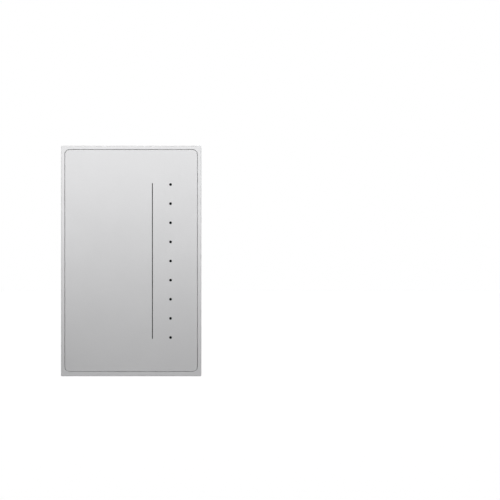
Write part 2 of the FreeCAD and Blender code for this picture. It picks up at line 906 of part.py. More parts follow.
def mounting_strap():
    """Steel strap that takes the box screws, the housing's screws and the earth wire."""
    strap = strap_plan(0.0, strap_front, 0)
    tab_foot = tab_top - strap_thickness - ground_tab_bend
    half = ground_tab_width / 2 + ground_relief
    relief = block((-half, half), (strap_front, 0), (tab_foot, tab_top + ground_relief))
    strap = joined([strap.cut(relief), ground_tab()])
    cuts = [obround(box_slot_width, box_slot_length, strap_front, 0, 0, z) for z in spread(2, box_screw_spacing)]
    hole = housing_thread + 2 * thread_clearance
    cuts += [rod(hole, strap_front, 0, x, z) for x, z in housing_screw_places(post_x, post_z)]
    cuts += stakes(stake_clearance, strap_front, 0)
    cuts += [slab(*tongue_size, strap_front, 0, x, tongue_z) for x in spread(2, tongue_spacing)]
    cuts.append(link_window(strap_front, 0))
    cuts.append(Part.makeCylinder(ground_thread / 2 + thread_clearance, strap_thickness,
                                  Vector(0, ground_screw_y, tab_face), Vector(0, 0, 1)))
    return without(strap, cuts)


def ground_screw():
    """Slotted hexagon screw, driven up into the strap's tab from below for the earth wire."""
    radius = ground_head_across / math.sqrt(3)
    turns = [math.radians(60 * i) for i in range(6)]
    hexagon = [Vector(radius * math.cos(a), ground_screw_y + radius * math.sin(a), tab_face) for a in turns]
    head = prism(hexagon, Vector(0, 0, -ground_head_height))
    shank = Part.makeCylinder(ground_thread / 2, ground_screw_length, Vector(0, ground_screw_y, tab_face),
                              Vector(0, 0, 1))
    bottom = tab_face - ground_head_height
    slot = block((-slot_width / 2, slot_width / 2), (ground_screw_y - radius, ground_screw_y + radius),
                 (bottom, bottom + slot_depth))
    return joined([head, shank]).cut(slot)


def heat_sink():
    """Aluminium angle whose foot sits on the strap with two tongues through it; the transistors lie on its upright."""
    low = heat_sink_top - heat_sink_foot
    section = [
        (0, low),
        (0, heat_sink_top),
        (heat_sink_reach, heat_sink_top),
        (heat_sink_reach, heat_sink_face),
        (heat_sink_thickness, heat_sink_face),
        (heat_sink_thickness, low),
    ]
    angle = prism([Vector(-heat_sink_width / 2, y, z) for y, z in section], Vector(heat_sink_width, 0, 0))
    return joined([angle] + [slab(*tongue_size, strap_front, 0, x, tongue_z) for x in spread(2, tongue_spacing)])


def side_vents():
    """Slots through both side walls of the housing."""
    middle = housing_depth / 2
    slots = []
    for side in (-1, 1):
        wall = (side * (housing_width / 2 - housing_wall), side * housing_width / 2)
        depth = (middle - side_vent_length / 2, middle + side_vent_length / 2)
        for dz in spread(side_vent_count, vent_pitch):
            low = side_vent_height + dz - vent_width / 2
            slots.append(block(wall, depth, (low, low + vent_width)))
    return slots


def rest_ribs():
    """Ribs on the housing's side walls that carry the power board."""
    ribs = []
    for side in (-1, 1):
        wall = side * (housing_inside[0] - rest_rib[0]) / 2
        ribs += [slab(*rest_rib, power_board_back, housing_floor, wall, z) for z in rest_rib_heights]
    return ribs


def rear_housing():
    """Moulded box in the wall, with corner posts, two stepped corners, vents, a terminal bay and a strip gauge."""
    outside = rounded_slab(housing_width, housing_height, housing_corner, 0, housing_depth)
    back_rim = [e for e in outside.Edges if e.BoundBox.YMin > housing_depth - edge_tolerance]
    outside = outside.makeChamfer(housing_edge, back_rim)
    shell = outside.cut(slab(*housing_inside, 0, housing_floor))
    posts = [slab(post_size, post_size, 0, housing_floor, x, z) for x, z in corners(post_x, post_z)]
    shell = joined([shell] + posts + rest_ribs()).common(outside)
    step = corner_step[0]
    step_x, step_z = (housing_width - step) / 2, (housing_height - step) / 2
    bore = housing_thread + 2 * hole_clearance
    half = terminal_width / 2 + terminal_clearance
    cuts = [slab(step, step, corner_seat, housing_depth, x, z) for x, z in housing_screw_places(step_x, step_z)]
    cuts += [rod(bore, 0, corner_seat, x, z) for x, z in housing_screw_places(post_x, post_z)]
    cuts += [slab(vent_width, vent_length, housing_floor, housing_depth, x, vent_height)
             for x in spread(vent_count, vent_pitch)]
    cuts += side_vents()
    cuts.append(slab(*strip_gauge, housing_depth - strip_gauge_depth, housing_depth, 0,
                     terminal_top + strip_gauge_rise))
    cuts.append(block((-half, half), (power_board_back, housing_depth),
                      (-housing_height / 2, terminal_top + terminal_clearance)))
    return without(shell, cuts)


def housing_screws():
    """Two long screws through opposite corner posts of the housing into the strap."""
    return group([housing_screw(x, z) for x, z in housing_screw_places(post_x, post_z)])


def power_board():
    """Printed board in the housing, notched round the posts and the heat sink."""
    board = slab(*power_board_size, power_board_front, power_board_back)
    depth = (power_board_front, power_board_back)
    notch = post_size + 2 * power_board_gap
    cuts = [slab(notch, notch, *depth, x, z) for x, z in corners(post_x, post_z)]
    reach = heat_sink_width / 2 + power_board_gap
    cuts.append(block((-reach, reach), depth, (heat_sink_face - power_board_gap, housing_height / 2)))
    cuts += [slab(link_pin, link_pin, *depth, x, z) for x, z in link_places()]
    return without(board, cuts)


def in_bay(place):
    """Where a part stands on the power board, from its shares of the bay's half width and height."""
    across, up = place
    return across * housing_inside[0] / 2, terminal_top + up * (heat_sink_face - terminal_top)


def square_ring(x, half, low, high, z):
    """A square outline across the wire's way at height z."""
    points = [Vector(x - half, low, z), Vector(x + half, low, z), Vector(x + half, high, z), Vector(x - half, high, z)]
    return Part.makePolygon(points + points[:1])


def wire_way(x):
    """Square wire entry of one pole with its flared mouth."""
    low, high = wire_entry_depth, wire_entry_depth + wire_entry
    flare = wire_entry_flare
    half = wire_entry / 2
    wide = square_ring(x, half + flare, low - flare, high + flare, terminal_bottom)
    throat = square_ring(x, half, low, high, terminal_bottom + 2 * flare)
    funnel = Part.makeLoft([wide, throat], True, True)
    return funnel.fuse(block((x - half, x + half), (low, high), (terminal_bottom, clamp_low)))


def terminal_block():
    """Moulded block with a wire entry below, a clamp room inside and a screw well behind for each pole."""
    body = slab(terminal_width, terminal_height, power_board_back, terminal_back,
                z=(terminal_bottom + terminal_top) / 2)
    gap = 2 * clamp_clearance
    room_back = clamp_back + clamp_clearance
    cuts = []
    for x in spread(pole_count, pole_pitch):
        cuts.append(wire_way(x))
        cuts.append(slab(clamp_width + gap, clamp_height + gap, clamp_front, room_back, x, clamp_middle))
        cuts.append(rod(clamp_screw_well, room_back, terminal_back, x, clamp_middle))
    return without(body, cuts)


def terminal_clamps():
    """Clamp cages: a folded ring round the wire's end, with a threaded hole for the screw."""
    cages = []
    for x in spread(pole_count, pole_pitch):
        cage = slab(clamp_width, clamp_height, clamp_front, clamp_back, x, clamp_middle)
        top = clamp_back - clamp_top_wall
        inside = slab(clamp_width - 2 * clamp_wall, clamp_height, clamp_front + clamp_wall, top, x, clamp_middle)
        hole = rod(clamp_screw_thread + 2 * thread_clearance, top, clamp_back, x, clamp_middle)
        cages.append(cage.cut(inside).cut(hole))
    return group(cages)


def terminal_screws():
    """Slotted headless screws that press the wires into the clamps."""
    front = clamp_back - clamp_top_wall - clamp_lift
    back = front + clamp_screw_length
    screws = []
    for x in spread(pole_count, pole_pitch):
        thread = rod(clamp_screw_thread, front, back, x, clamp_middle)
        screws.append(thread.cut(slab(clamp_screw_thread, slot_width, back - slot_depth, back, x, clamp_middle)))
    return group(screws)


def power_transistors():
    """Two power transistors lying against the heat sink, their legs in the power board."""
    width, length, thickness = transistor_body
    tab_length, tab_thickness = transistor_tab
    foot = power_board_back + transistor_stand
    tab_end = foot + length + tab_length
    pieces = []
    for x in spread(2, transistor_spacing):
        body = slab(width, thickness, foot, foot + length, x, heat_sink_face - thickness / 2)
        tab = slab(width, tab_thickness, foot + length, tab_end, x, heat_sink_face - tab_thickness / 2)
        leg_z = heat_sink_face - thickness / 2
        legs = [slab(transistor_lead, transistor_lead, power_board_back, foot, x + dx, leg_z)
                for dx in spread(3, transistor_pitch)]
        pieces.append(joined([body, tab] + legs))
    return group(pieces)


def transistor_clip():
    """Spring clip over the end of the heat sink that presses on both transistors."""
    thickness = clip_thickness
    end = heat_sink_reach
    face = heat_sink_face - transistor_body[2]
    arm_end = power_board_back + transistor_stand + transistor_body[1] / 2
    section = [
        (end - clip_reach, heat_sink_top),
        (end - clip_reach, heat_sink_top + thickness),
        (end + thickness, heat_sink_top + thickness),
        (end + thickness, face - thickness),
        (arm_end, face - thickness),
        (arm_end, face),
        (end, face),
        (end, heat_sink_top),
    ]
    return prism([Vector(-clip_width / 2, y, z) for y, z in section], Vector(clip_width, 0, 0))


def transformer_core():
    """Ferrite core of the supply transformer, closed round its bobbin with two windows."""
    width, depth, height = transformer_size
    x, z = in_bay(transformer_place)
    front = power_board_back + bobbin_stand
    arm = transformer_arm
    opening = (width - 3 * arm) / 2
    core = slab(width, height, front, front + depth, x, z)
    windows = [x + side * (arm + opening) / 2 for side in (-1, 1)]
    return without(core, [slab(opening, height, front + arm, front + depth - arm, at, z) for at in windows])


def transformer_winding():
    """Taped coil on its bobbin round the middle arm of the core, with four pins in the board."""
    width, depth, height = transformer_size
    x, z = in_bay(transformer_place)
    front = power_board_back + bobbin_stand
    arm = transformer_arm
    gap = bobbin_clearance
    coil = slab(width - 2 * arm - 2 * gap, bobbin_height, front + arm, front + depth - arm - gap, x, z)
    coil = coil.cut(slab(arm, height + 2 * gap, front, front + depth, x, z))
    outer = (height + bobbin_height) / 4
    pins = [slab(bobbin_pin, bobbin_pin, power_board_back, front + arm, x + dx, z + dz)
            for dx, dz in corners(arm, outer)]
    return joined([coil] + pins)


def choke_core():
    """Ferrite core of the mains choke: two cheeks on a narrower middle bar."""
    width, depth, height = choke_size
    x, z = in_bay(choke_place)
    back = power_board_back + depth
    offset = (width - choke_flange) / 2
    cheeks = [slab(choke_flange, height, power_board_back, back, x + side * offset, z) for side in (-1, 1)]
    bar = slab(width - 2 * choke_flange, height - 2 * choke_waist, power_board_back + choke_waist,
               back - choke_waist, x, z)
    return joined(cheeks + [bar])


def choke_winding():
    """Coil of enamelled wire that fills the choke's waist."""
    width, depth, height = choke_size
    x, z = in_bay(choke_place)
    back = power_board_back + depth
    coil = slab(width - 2 * choke_flange, height, power_board_back, back, x, z)
    return coil.cut(slab(width, height - 2 * choke_waist, power_board_back + choke_waist, back - choke_waist, x, z))


def film_capacitor():
    """Box-shaped film capacitor across the mains."""
    return standing(film_capacitor_size, in_bay(film_capacitor_place), power_board_back)


def bulk_capacitor():
    """Round can capacitor."""
    top = power_board_back + bulk_capacitor_height
    return rod(bulk_capacitor_diameter, power_board_back, top, *in_bay(bulk_capacitor_place))


def varistor():
    """Surge absorber: a lacquered disc on edge."""
    x, z = in_bay(varistor_place)
    centre = Vector(x, power_board_back + varistor_diameter / 2, z - varistor_thickness / 2)
    return Part.makeCylinder(varistor_diameter / 2, varistor_thickness, centre, Vector(0, 0, 1))


def fuse():
    """Small round fuse."""
    return rod(fuse_diameter, power_board_back, power_board_back + fuse_height, *in_bay(fuse_place))


def bridge_rectifier():
    """Flat bridge rectifier standing on the power board."""
    return standing(rectifier_size, in_bay(rectifier_place), power_board_back)


pieces_of_the_switch = [
    cover_frame,
    touch_panel,
    line_light_guide,
    dot_light_guide,
    slide_sensor_film,
    sensor_flex_tail,
    flex_connector,
    light_baffle,
    indicator_leds,
    line_leds,
    control_board,
    switch_bodies,
    switch_plungers,
    return_springs,
    wireless_module,
    module_shield,
    antenna_trace,
    microcontroller,
    touch_controller,
    link_socket,
    link_header,
    link_header_pins,
    base_plate,
    mounting_strap,
    ground_screw,
    rear_housing,
    housing_screws,
    power_board,
    heat_sink,
    power_transistors,
    transistor_clip,
    transformer_core,
    transformer_winding,
    choke_core,
    choke_winding,
    film_capacitor,
    bulk_capacitor,
    varistor,
    fuse,
    bridge_rectifier,
    terminal_block,
    terminal_clamps,
    terminal_screws,
]


def main():
    """Build every piece and write it to a file of its own name."""
    os.makedirs("parts", exist_ok=True)
    for piece in pieces_of_the_switch:
        piece().exportStep(f"parts/{piece.__name__}.step")


main()
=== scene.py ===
"""Smart dimmer switch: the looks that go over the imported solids.

Lengths are in metres in the part's own frame: X runs across the plate, Z runs up it, Y runs into the wall, and the
wall's surface is Y = 0. Each sub-assembly is a class that dresses its solids and makes its finer pieces.
"""

import json
import logging
import math
from dataclasses import dataclass, field
from enum import Enum
from functools import cache
from typing import Any, ClassVar

import bmesh
import bpy
import numpy as np
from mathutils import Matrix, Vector

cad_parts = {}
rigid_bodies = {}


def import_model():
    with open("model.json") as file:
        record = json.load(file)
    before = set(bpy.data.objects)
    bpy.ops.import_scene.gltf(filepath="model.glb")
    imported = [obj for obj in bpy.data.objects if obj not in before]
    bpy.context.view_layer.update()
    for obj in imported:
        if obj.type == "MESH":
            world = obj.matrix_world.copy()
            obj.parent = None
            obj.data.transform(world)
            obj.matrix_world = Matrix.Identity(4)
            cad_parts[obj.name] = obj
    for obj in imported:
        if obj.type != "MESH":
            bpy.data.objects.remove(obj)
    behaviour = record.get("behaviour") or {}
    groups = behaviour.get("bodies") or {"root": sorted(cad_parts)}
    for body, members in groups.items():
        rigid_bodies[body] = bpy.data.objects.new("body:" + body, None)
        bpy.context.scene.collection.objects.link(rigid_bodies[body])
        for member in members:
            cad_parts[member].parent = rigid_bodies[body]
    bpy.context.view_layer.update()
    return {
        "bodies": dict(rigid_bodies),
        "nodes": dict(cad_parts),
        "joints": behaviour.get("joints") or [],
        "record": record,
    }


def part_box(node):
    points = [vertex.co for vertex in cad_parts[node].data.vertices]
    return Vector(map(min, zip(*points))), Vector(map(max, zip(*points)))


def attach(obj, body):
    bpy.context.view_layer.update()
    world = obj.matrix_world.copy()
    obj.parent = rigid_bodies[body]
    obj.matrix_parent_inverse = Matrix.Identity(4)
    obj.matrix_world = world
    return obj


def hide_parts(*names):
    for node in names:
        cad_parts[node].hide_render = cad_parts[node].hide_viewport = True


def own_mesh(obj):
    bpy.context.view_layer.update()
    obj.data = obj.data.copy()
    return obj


log = logging.getLogger("switch")

MM = 0.001
WAVE_PERIOD = 0.314  # of Blender's wave texture at a scale of 1
MERGE_DISTANCE = 1e-7
OFF_AXIS = (0.94, 0.21, 0.27)  # no tube follows this direction
NOISE_RANGE = (0.3, 0.7)  # that a noise mostly keeps to
SHARP_ANGLE = math.radians(32)
Array = np.ndarray
Point = tuple[float, float, float]
Piece = bpy.types.Object
Socket = bpy.types.NodeSocket


# ---- Colours and the node sheet that finishes are drawn on


@dataclass(frozen=True)
class Tone:
    """A colour as it looks on a screen, each channel from 0 to 255."""

    red: float
    green: float
    blue: float

    def linear(self, gain: float = 1.0) -> tuple[float, float, float, float]:
        """Work out the colour in linear light.

        Args:
            gain: What the linear colour is multiplied by.

        Returns:
            Red, green, blue and an alpha of 1.
        """
        level = np.array([self.red, self.green, self.blue]) / 255
        light = np.where(level <= 0.04045, level / 12.92, ((level + 0.055) / 1.055) ** 2.4)
        return (*(float(v) for v in np.clip(light * gain, 0, 1)), 1.0)


class Grain(Enum):
    """Surface of a mould: the size of its grain and its depth, in metres."""

    SPARKED = (0.22 * MM, 0.014 * MM)
    FINE = (0.12 * MM, 0.006 * MM)
    POLISHED = (0.9 * MM, 0.002 * MM)

    @property
    def size(self) -> float:
        """Distance from one bump to the next."""
        return self.value[0]

    @property
    def depth(self) -> float:
        """Height of a bump."""
        return self.value[1]


class Lay(Enum):
    """Direction in which a sheet of metal was rolled, as a stretch of the pattern along X, Y and Z."""

    ACROSS = (0.03, 1.0, 1.0)
    DEEP = (1.0, 0.03, 1.0)
    UPRIGHT = (1.0, 1.0, 0.03)
    NONE = (1.0, 1.0, 1.0)


class NodeSheet:
    """Nodes of a material or a world: its shader, and short calls for what the finishes have in common."""

    def __init__(self, owner: bpy.types.ID, shader: str = "Principled BSDF") -> None:
        """Open the nodes of a material or a world.

        Args:
            owner: The material or the world.
            shader: Name of its shader.
        """
        owner.use_nodes = True
        self.tree = owner.node_tree
        self.shader = self.tree.nodes[shader]
        self.place = self.node("ShaderNodeTexCoord", {}).outputs["Object"]

    def link(self, source: Any, target: Any) -> None:
        """Join a socket, or set the target to a plain value."""
        if isinstance(source, Socket):
            self.tree.links.new(source, target)
        else:
            target.default_value = source

    def node(self, kind: str, sockets: dict[str | int, Any], **settings: Any) -> bpy.types.Node:
        """Add a node.

        Args:
            kind: Blender's name of the node's type.
            sockets: What its inputs get, each a socket or a plain value.
            **settings: Properties set on the node.

        Returns:
            The node.
        """
        made = self.tree.nodes.new(kind)
        for key, value in settings.items():
            setattr(made, key, value)
        for key, value in sockets.items():
            self.link(value, made.inputs[key])
        return made

    def shade(self, **values: Any) -> None:
        """Set the shader's inputs, named with underscores for spaces, to sockets or plain values."""
        for key, value in values.items():
            self.link(value, self.shader.inputs[key.replace("_", " ")])

    def noise(self, size: float, detail: float = 2.0, lay: Lay = Lay.NONE, soft: float = 0.5) -> Socket:
        """Cloudy noise.

        Args:
            size: Distance from one cloud to the next, in metres.
            detail: How many finer octaves are added.
            lay: Direction in which the clouds are drawn out.
            soft: Weight of each finer octave.

        Returns:
            A value of about 0 to 1.
        """
        place = self.node("ShaderNodeMapping", {"Scale": lay.value, "Vector": self.place}).outputs["Vector"]
        sockets = {"Scale": 1 / size, "Detail": detail, "Roughness": soft, "Vector": place}
        return self.node("ShaderNodeTexNoise", sockets).outputs["Fac"]

    def cells(self, size: float) -> Socket:
        """Distance to the nearest of many scattered points, in cell sizes."""
        return self.node("ShaderNodeTexVoronoi", {"Scale": 1 / size, "Vector": self.place}).outputs["Distance"]

    def waves(self, period: float, axis: str, profile: str = "SIN", wander: float = 0.0) -> Socket:
        """Bands of a profile, a period apart in metres along the axis X, Y or Z, from 0 to 1."""
        sockets = {"Scale": WAVE_PERIOD / period, "Distortion": wander, "Vector": self.place}
        return self.node("ShaderNodeTexWave", sockets, bands_direction=axis, wave_profile=profile).outputs["Fac"]

    def span(self, value: Any, low: float, high: float, to_low: float, to_high: float) -> Socket:
        """Map the range from low to high onto the one from to_low to to_high, without passing its ends."""
        sockets = {"Value": value, "From Min": low, "From Max": high, "To Min": to_low, "To Max": to_high}
        return self.node("ShaderNodeMapRange", sockets).outputs["Result"]

    def spread(self, noise: Any, to_low: float, to_high: float) -> Socket:
        """Map the range that a noise mostly keeps to onto another."""
        return self.span(noise, *NOISE_RANGE, to_low, to_high)

    def blend(self, factor: Any, first: Any, second: Any) -> Socket:
        """Mix two colours, where factor is the share of the second."""
        return self.node("ShaderNodeMix", {0: factor, 6: first, 7: second}, data_type="RGBA").outputs[2]

    def sum(self, first: Any, second: Any, kind: str = "ADD") -> Socket:
        """Add two values, or combine them as kind says."""
        return self.node("ShaderNodeMath", {0: first, 1: second}, operation=kind).outputs[0]

    def soft_edges(self, radius: float) -> Socket:
        """Normal that rounds the edges of a solid off by a radius."""
        return self.node("ShaderNodeBevel", {"Radius": radius}, samples=6).outputs["Normal"]

    def relief(self, height: Any, depth: float, under: Any = None) -> Socket:
        """Turn a height into a bumped normal.

        Args:
            height: Value of 0 to 1.
            depth: What a height of 1 is, in metres.
            under: Normal that the bump lies on.

        Returns:
            The normal.
        """
        made = self.node("ShaderNodeBump", {"Strength": 1.0, "Distance": depth, "Height": height})
        if under is not None:
            self.link(under, made.inputs["Normal"])
        return made.outputs["Normal"]


# ---- Finishes


@dataclass(frozen=True)
class Finish:
    """What every finish has: a name, a tone, a roughness and the radius of its edges."""

    name: str
    tone: Tone
    roughness: float = 0.5
    edge: float = 0.1 * MM

    def draw(self, sheet: NodeSheet) -> None:
        """Draw the finish on a sheet."""
        raise NotImplementedError

    def shades(self, sheet: NodeSheet, factor: Any, low: float, high: float) -> Socket:
        """Colour that goes from one gain of the tone to another with a factor."""
        return sheet.blend(factor, self.tone.linear(low), self.tone.linear(high))

    def gloss(self, sheet: NodeSheet, noise: Any, less: float, more: float) -> Socket:
        """Roughness that a noise takes down by less or up by more."""
        return sheet.spread(noise, self.roughness - less, self.roughness + more)

    def bumps(self, sheet: NodeSheet, height: Any, depth: float) -> Socket:
        """Normal with bumps of a depth over the softened edges."""
        return sheet.relief(height, depth, sheet.soft_edges(self.edge))


@cache
def made(finish: Finish) -> bpy.types.Material:
    """Make a finish's material once, and give the same one to every piece that has it."""
    material = bpy.data.materials.new(finish.name)
    finish.draw(NodeSheet(material))
    return material


@dataclass(frozen=True)
class SilverPaint(Finish):
    """Sprayed satin silver: fine flakes, a trace of orange peel and a thin lacquer."""

    flake: float = 0.07 * MM
    peel: float = 0.9 * MM

    def draw(self, sheet: NodeSheet) -> None:
        """Draw the flakes, the peel and the lacquer."""
        flakes = sheet.noise(self.flake, 1.0)
        tint = sheet.sum(sheet.spread(flakes, 0.0, 0.75), sheet.spread(sheet.noise(14 * MM), 0.0, 0.25))
        peel = self.bumps(sheet, sheet.noise(self.peel, 1.0), 0.0012 * MM)
        sheet.shade(Base_Color=self.shades(sheet, tint, 0.965, 1.035), Roughness=self.gloss(sheet, flakes, 0.04, 0.04),
                    Metallic=0.12, IOR=1.46, Coat_Weight=0.12, Coat_Roughness=0.3,
                    Normal=sheet.relief(flakes, 0.0008 * MM, peel))


@dataclass(frozen=True)
class Moulding(Finish):
    """Moulded plastic: the mould's grain, a slight flow of the colour and small changes in gloss."""

    grain: Grain = Grain.FINE
    flow: float = 0.03

    def draw(self, sheet: NodeSheet) -> None:
        """Draw the flow and the grain."""
        clouds = sheet.noise(9 * MM, 3.0)
        speck = sheet.noise(self.grain.size)
        change = sheet.sum(sheet.spread(speck, -0.05, 0.05), sheet.spread(clouds, -0.03, 0.03))
        sheet.shade(Base_Color=self.shades(sheet, clouds, 1 - 2 * self.flow, 1 + 2 * self.flow),
                    Roughness=sheet.sum(change, self.roughness), IOR=1.5,
                    Normal=self.bumps(sheet, speck, self.grain.depth))


@dataclass(frozen=True)
class SmokedLens(Finish):
    """Dark translucent plastic with a smooth face and a faint depth."""

    def draw(self, sheet: NodeSheet) -> None:
        """Draw the smoke and the smooth face."""
        smoke = sheet.noise(0.5 * MM)
        sheet.shade(Base_Color=self.shades(sheet, smoke, 0.85, 1.15), Roughness=self.gloss(sheet, smoke, 0.03, 0.03),
                    IOR=1.49, Specular_IOR_Level=0.12, Normal=sheet.soft_edges(self.edge))


@dataclass(frozen=True)
class PlatedMetal(Finish):
    """Plated or bare metal: rolling lines, a cloudy plating and a few fine scratches."""

    second: Tone = Tone(200, 202, 205)
    lay: Lay = Lay.NONE
    line: float = 0.12 * MM

    def draw(self, sheet: NodeSheet) -> None:
        """Draw the plating's clouds, the lines and the scratches."""
        clouds = sheet.noise(5 * MM, 4.0, soft=0.6)
        lines = sheet.noise(self.line, 3.0, self.lay)
        scratches = sheet.span(sheet.noise(0.5 * MM, 1.0, Lay.ACROSS), 0.66, 0.72, 0.0, 1.0)
        change = sheet.sum(sheet.spread(lines, -0.06, 0.06), sheet.spread(clouds, -0.05, 0.07))
        sheet.shade(Base_Color=sheet.blend(sheet.spread(clouds, 0.0, 1.0), self.tone.linear(), self.second.linear()),
                    Roughness=sheet.sum(change, self.roughness), Metallic=1.0,
                    Normal=sheet.relief(lines, 0.0025 * MM, self.bumps(sheet, scratches, 0.002 * MM)))


@dataclass(frozen=True)
class BoardLacquer(Finish):
    """Solder resist over a glass-fibre board, with groups of copper tracks and small plated holes under it."""

    track: float = 1.1 * MM
    hole: Tone = Tone(196, 160, 92)

    def lines(self, sheet: NodeSheet, axis: str, share: Any) -> Socket:
        """Parallel tracks that follow each other along an axis, where the share is 1."""
        tracks = sheet.span(sheet.waves(self.track, axis), 0.74, 0.8, 0.0, 1.0)
        return sheet.sum(tracks, share, "MULTIPLY")

    def draw(self, sheet: NodeSheet) -> None:
        """Draw the tracks, the holes and the weave."""
        sockets = {"Scale": 1 / (7 * self.track), "Vector": sheet.place}
        patch = sheet.node("ShaderNodeTexVoronoi", sockets, distance="CHEBYCHEV").outputs["Color"]
        tracks = sheet.sum(self.lines(sheet, "X", sheet.span(patch, 0.44, 0.45, 1.0, 0.0)),
                           self.lines(sheet, "Z", sheet.span(patch, 0.55, 0.56, 0.0, 1.0)))
        holes = sheet.span(sheet.cells(3.1 * MM), 0.10, 0.13, 1.0, 0.0)
        raised = self.bumps(sheet, sheet.sum(tracks, holes), 0.03 * MM)
        sheet.shade(Base_Color=sheet.blend(holes, self.shades(sheet, tracks, 1.0, 1.9), self.hole.linear()),
                    Roughness=self.gloss(sheet, sheet.noise(0.4 * MM), 0.05, 0.05), IOR=1.5,
                    Normal=sheet.relief(sheet.noise(0.5 * MM, 1.0), 0.004 * MM, raised))


@dataclass(frozen=True)
class Ferrite(Finish):
    """Pressed and fired ceramic magnet: dull dark grey, with pore pits painted darker as shade, and ground faces."""

    def draw(self, sheet: NodeSheet) -> None:
        """Draw the pore pits, painted darker as shade, and the uneven grey."""
        pore_pits_and_shade = sheet.span(sheet.cells(0.25 * MM), 0.12, 0.3, 0.0, 1.0)
        clouds = sheet.noise(2.5 * MM, 4.0)
        # The pits are painted at 0.4 of the tone: painted shade in the pore holes.
        sheet.shade(Base_Color=sheet.blend(pore_pits_and_shade, self.tone.linear(0.4), self.shades(sheet, clouds, 0.8, 1.25)),
                    Roughness=self.gloss(sheet, clouds, 0.08, 0.05), IOR=1.8,
                    Normal=self.bumps(sheet, pore_pits_and_shade, 0.012 * MM))


@dataclass(frozen=True)
class Lacquered(Finish):
    """Dipped or sleeved part: thick glossy skin with soft waves."""

    wave: float = 1.6 * MM

    def draw(self, sheet: NodeSheet) -> None:
        """Draw the waves of the skin."""
        waves = sheet.noise(self.wave)
        sheet.shade(Base_Color=self.shades(sheet, waves, 0.9, 1.12), Roughness=self.gloss(sheet, waves, 0.04, 0.06),
                    IOR=1.52, Coat_Weight=0.4, Coat_Roughness=0.12, Normal=self.bumps(sheet, waves, 0.02 * MM))


@dataclass(frozen=True)
class WoundTape(Finish):
    """Coil wound over with thin tape, whose turns overlap in low steps."""

    step: float = 2.6 * MM

    def draw(self, sheet: NodeSheet) -> None:
        """Draw the overlapping turns."""
        bands = sheet.waves(self.step, "Y", "SAW", 0.4)
        folds = sheet.noise(1.1 * MM, 3.0)
        steps = self.bumps(sheet, bands, 0.05 * MM)
        sheet.shade(Base_Color=self.shades(sheet, bands, 0.82, 1.08), Roughness=self.gloss(sheet, folds, 0.06, 0.06),
                    IOR=1.5, Normal=sheet.relief(folds, 0.02 * MM, steps))


@dataclass(frozen=True)
class SensorFilm(Finish):
    """Amber film with copper sensing fields under it."""

    pad: float = 2.5 * MM

    def draw(self, sheet: NodeSheet) -> None:
        """Draw the copper fields."""
        pads = sheet.node("ShaderNodeTexChecker", {"Scale": 1 / self.pad, "Vector": sheet.place}).outputs["Fac"]
        sheet.shade(Base_Color=self.shades(sheet, pads, 1.0, 1.6),
                    Roughness=self.gloss(sheet, sheet.noise(3 * MM), 0.05, 0.08), IOR=1.6, Coat_Weight=0.5,
                    Coat_Roughness=0.15, Normal=sheet.relief(sheet.noise(2.2 * MM), 0.01 * MM))


SILVER = SilverPaint("satin_silver_paint", Tone(206, 206, 207), 0.42, 0.05 * MM)
# Same satin silver as the panel, four levels lighter: painted light that makes the border look brighter than the panel.
SILVER_FRAME_PAINTED_LIGHTER = SilverPaint("satin_silver_frame_painted_lighter", Tone(210, 210, 211), 0.42, 0.06 * MM)
DOT_LENS = SmokedLens("smoked_dot_lens", Tone(16, 16, 18), 0.28, 0.03 * MM)
LINE_LENS = SmokedLens("smoked_line_lens", Tone(34, 34, 36), 0.32, 0.02 * MM)
AMBER_FILM = SensorFilm("amber_sensor_film", Tone(190, 120, 44), 0.3)
BLACK_SPACER = Moulding("black_spacer", Tone(26, 26, 27), 0.62, 0.06 * MM, Grain.FINE)
BLACK_SWITCH = Moulding("black_switch_body", Tone(34, 34, 36), 0.48, 0.1 * MM, Grain.FINE)
WHITE_PLASTIC = Moulding("white_insert", Tone(226, 224, 218), 0.45, 0.08 * MM, Grain.POLISHED)
LED_RESIN = Lacquered("led_resin", Tone(236, 226, 178), 0.2, 0.05 * MM, 0.4 * MM)
CONTROL_LACQUER = BoardLacquer("control_board_lacquer", Tone(24, 84, 52), 0.36, 0.05 * MM, 0.9 * MM)
POWER_LACQUER = BoardLacquer("power_board_lacquer", Tone(30, 92, 48), 0.4, 0.05 * MM, 1.5 * MM)
CHIP_RESIN = Moulding("chip_resin", Tone(38, 38, 40), 0.55, 0.06 * MM, Grain.FINE)
CERAMIC = Moulding("capacitor_ceramic", Tone(178, 142, 98), 0.42, 0.04 * MM, Grain.FINE)
SOLDER = PlatedMetal("solder", Tone(204, 205, 206), 0.24, 0.04 * MM, Tone(186, 188, 190))
TINNED_CAN = PlatedMetal("tinned_can", Tone(206, 206, 202), 0.3, 0.12 * MM, Tone(190, 191, 190), Lay.UPRIGHT)
GOLD_COPPER = PlatedMetal("gold_plating", Tone(220, 178, 96), 0.28, 0.04 * MM, Tone(206, 160, 80))
SPRING_STEEL = PlatedMetal("spring_steel", Tone(186, 186, 184), 0.3, 0.04 * MM, Tone(172, 172, 170), Lay.UPRIGHT)
BRIGHT_ZINC = PlatedMetal("bright_zinc", Tone(180, 184, 190), 0.34, 0.12 * MM, Tone(160, 166, 172), Lay.UPRIGHT)
SCREW_ZINC = PlatedMetal("zinc_screws", Tone(192, 196, 202), 0.28, 0.05 * MM, Tone(204, 204, 200))
GREEN_ZINC = PlatedMetal("green_passivation", Tone(40, 134, 78), 0.34, 0.08 * MM, Tone(30, 112, 66))
HOUSING_PLASTIC = Moulding("housing_plastic", Tone(46, 47, 50), 0.56, 0.25 * MM, Grain.SPARKED)
BASE_PLASTIC = Moulding("base_plate_plastic", Tone(58, 59, 62), 0.58, 0.15 * MM, Grain.SPARKED)
TERMINAL_PLASTIC = Moulding("terminal_plastic", Tone(66, 67, 70), 0.5, 0.15 * MM, Grain.FINE)
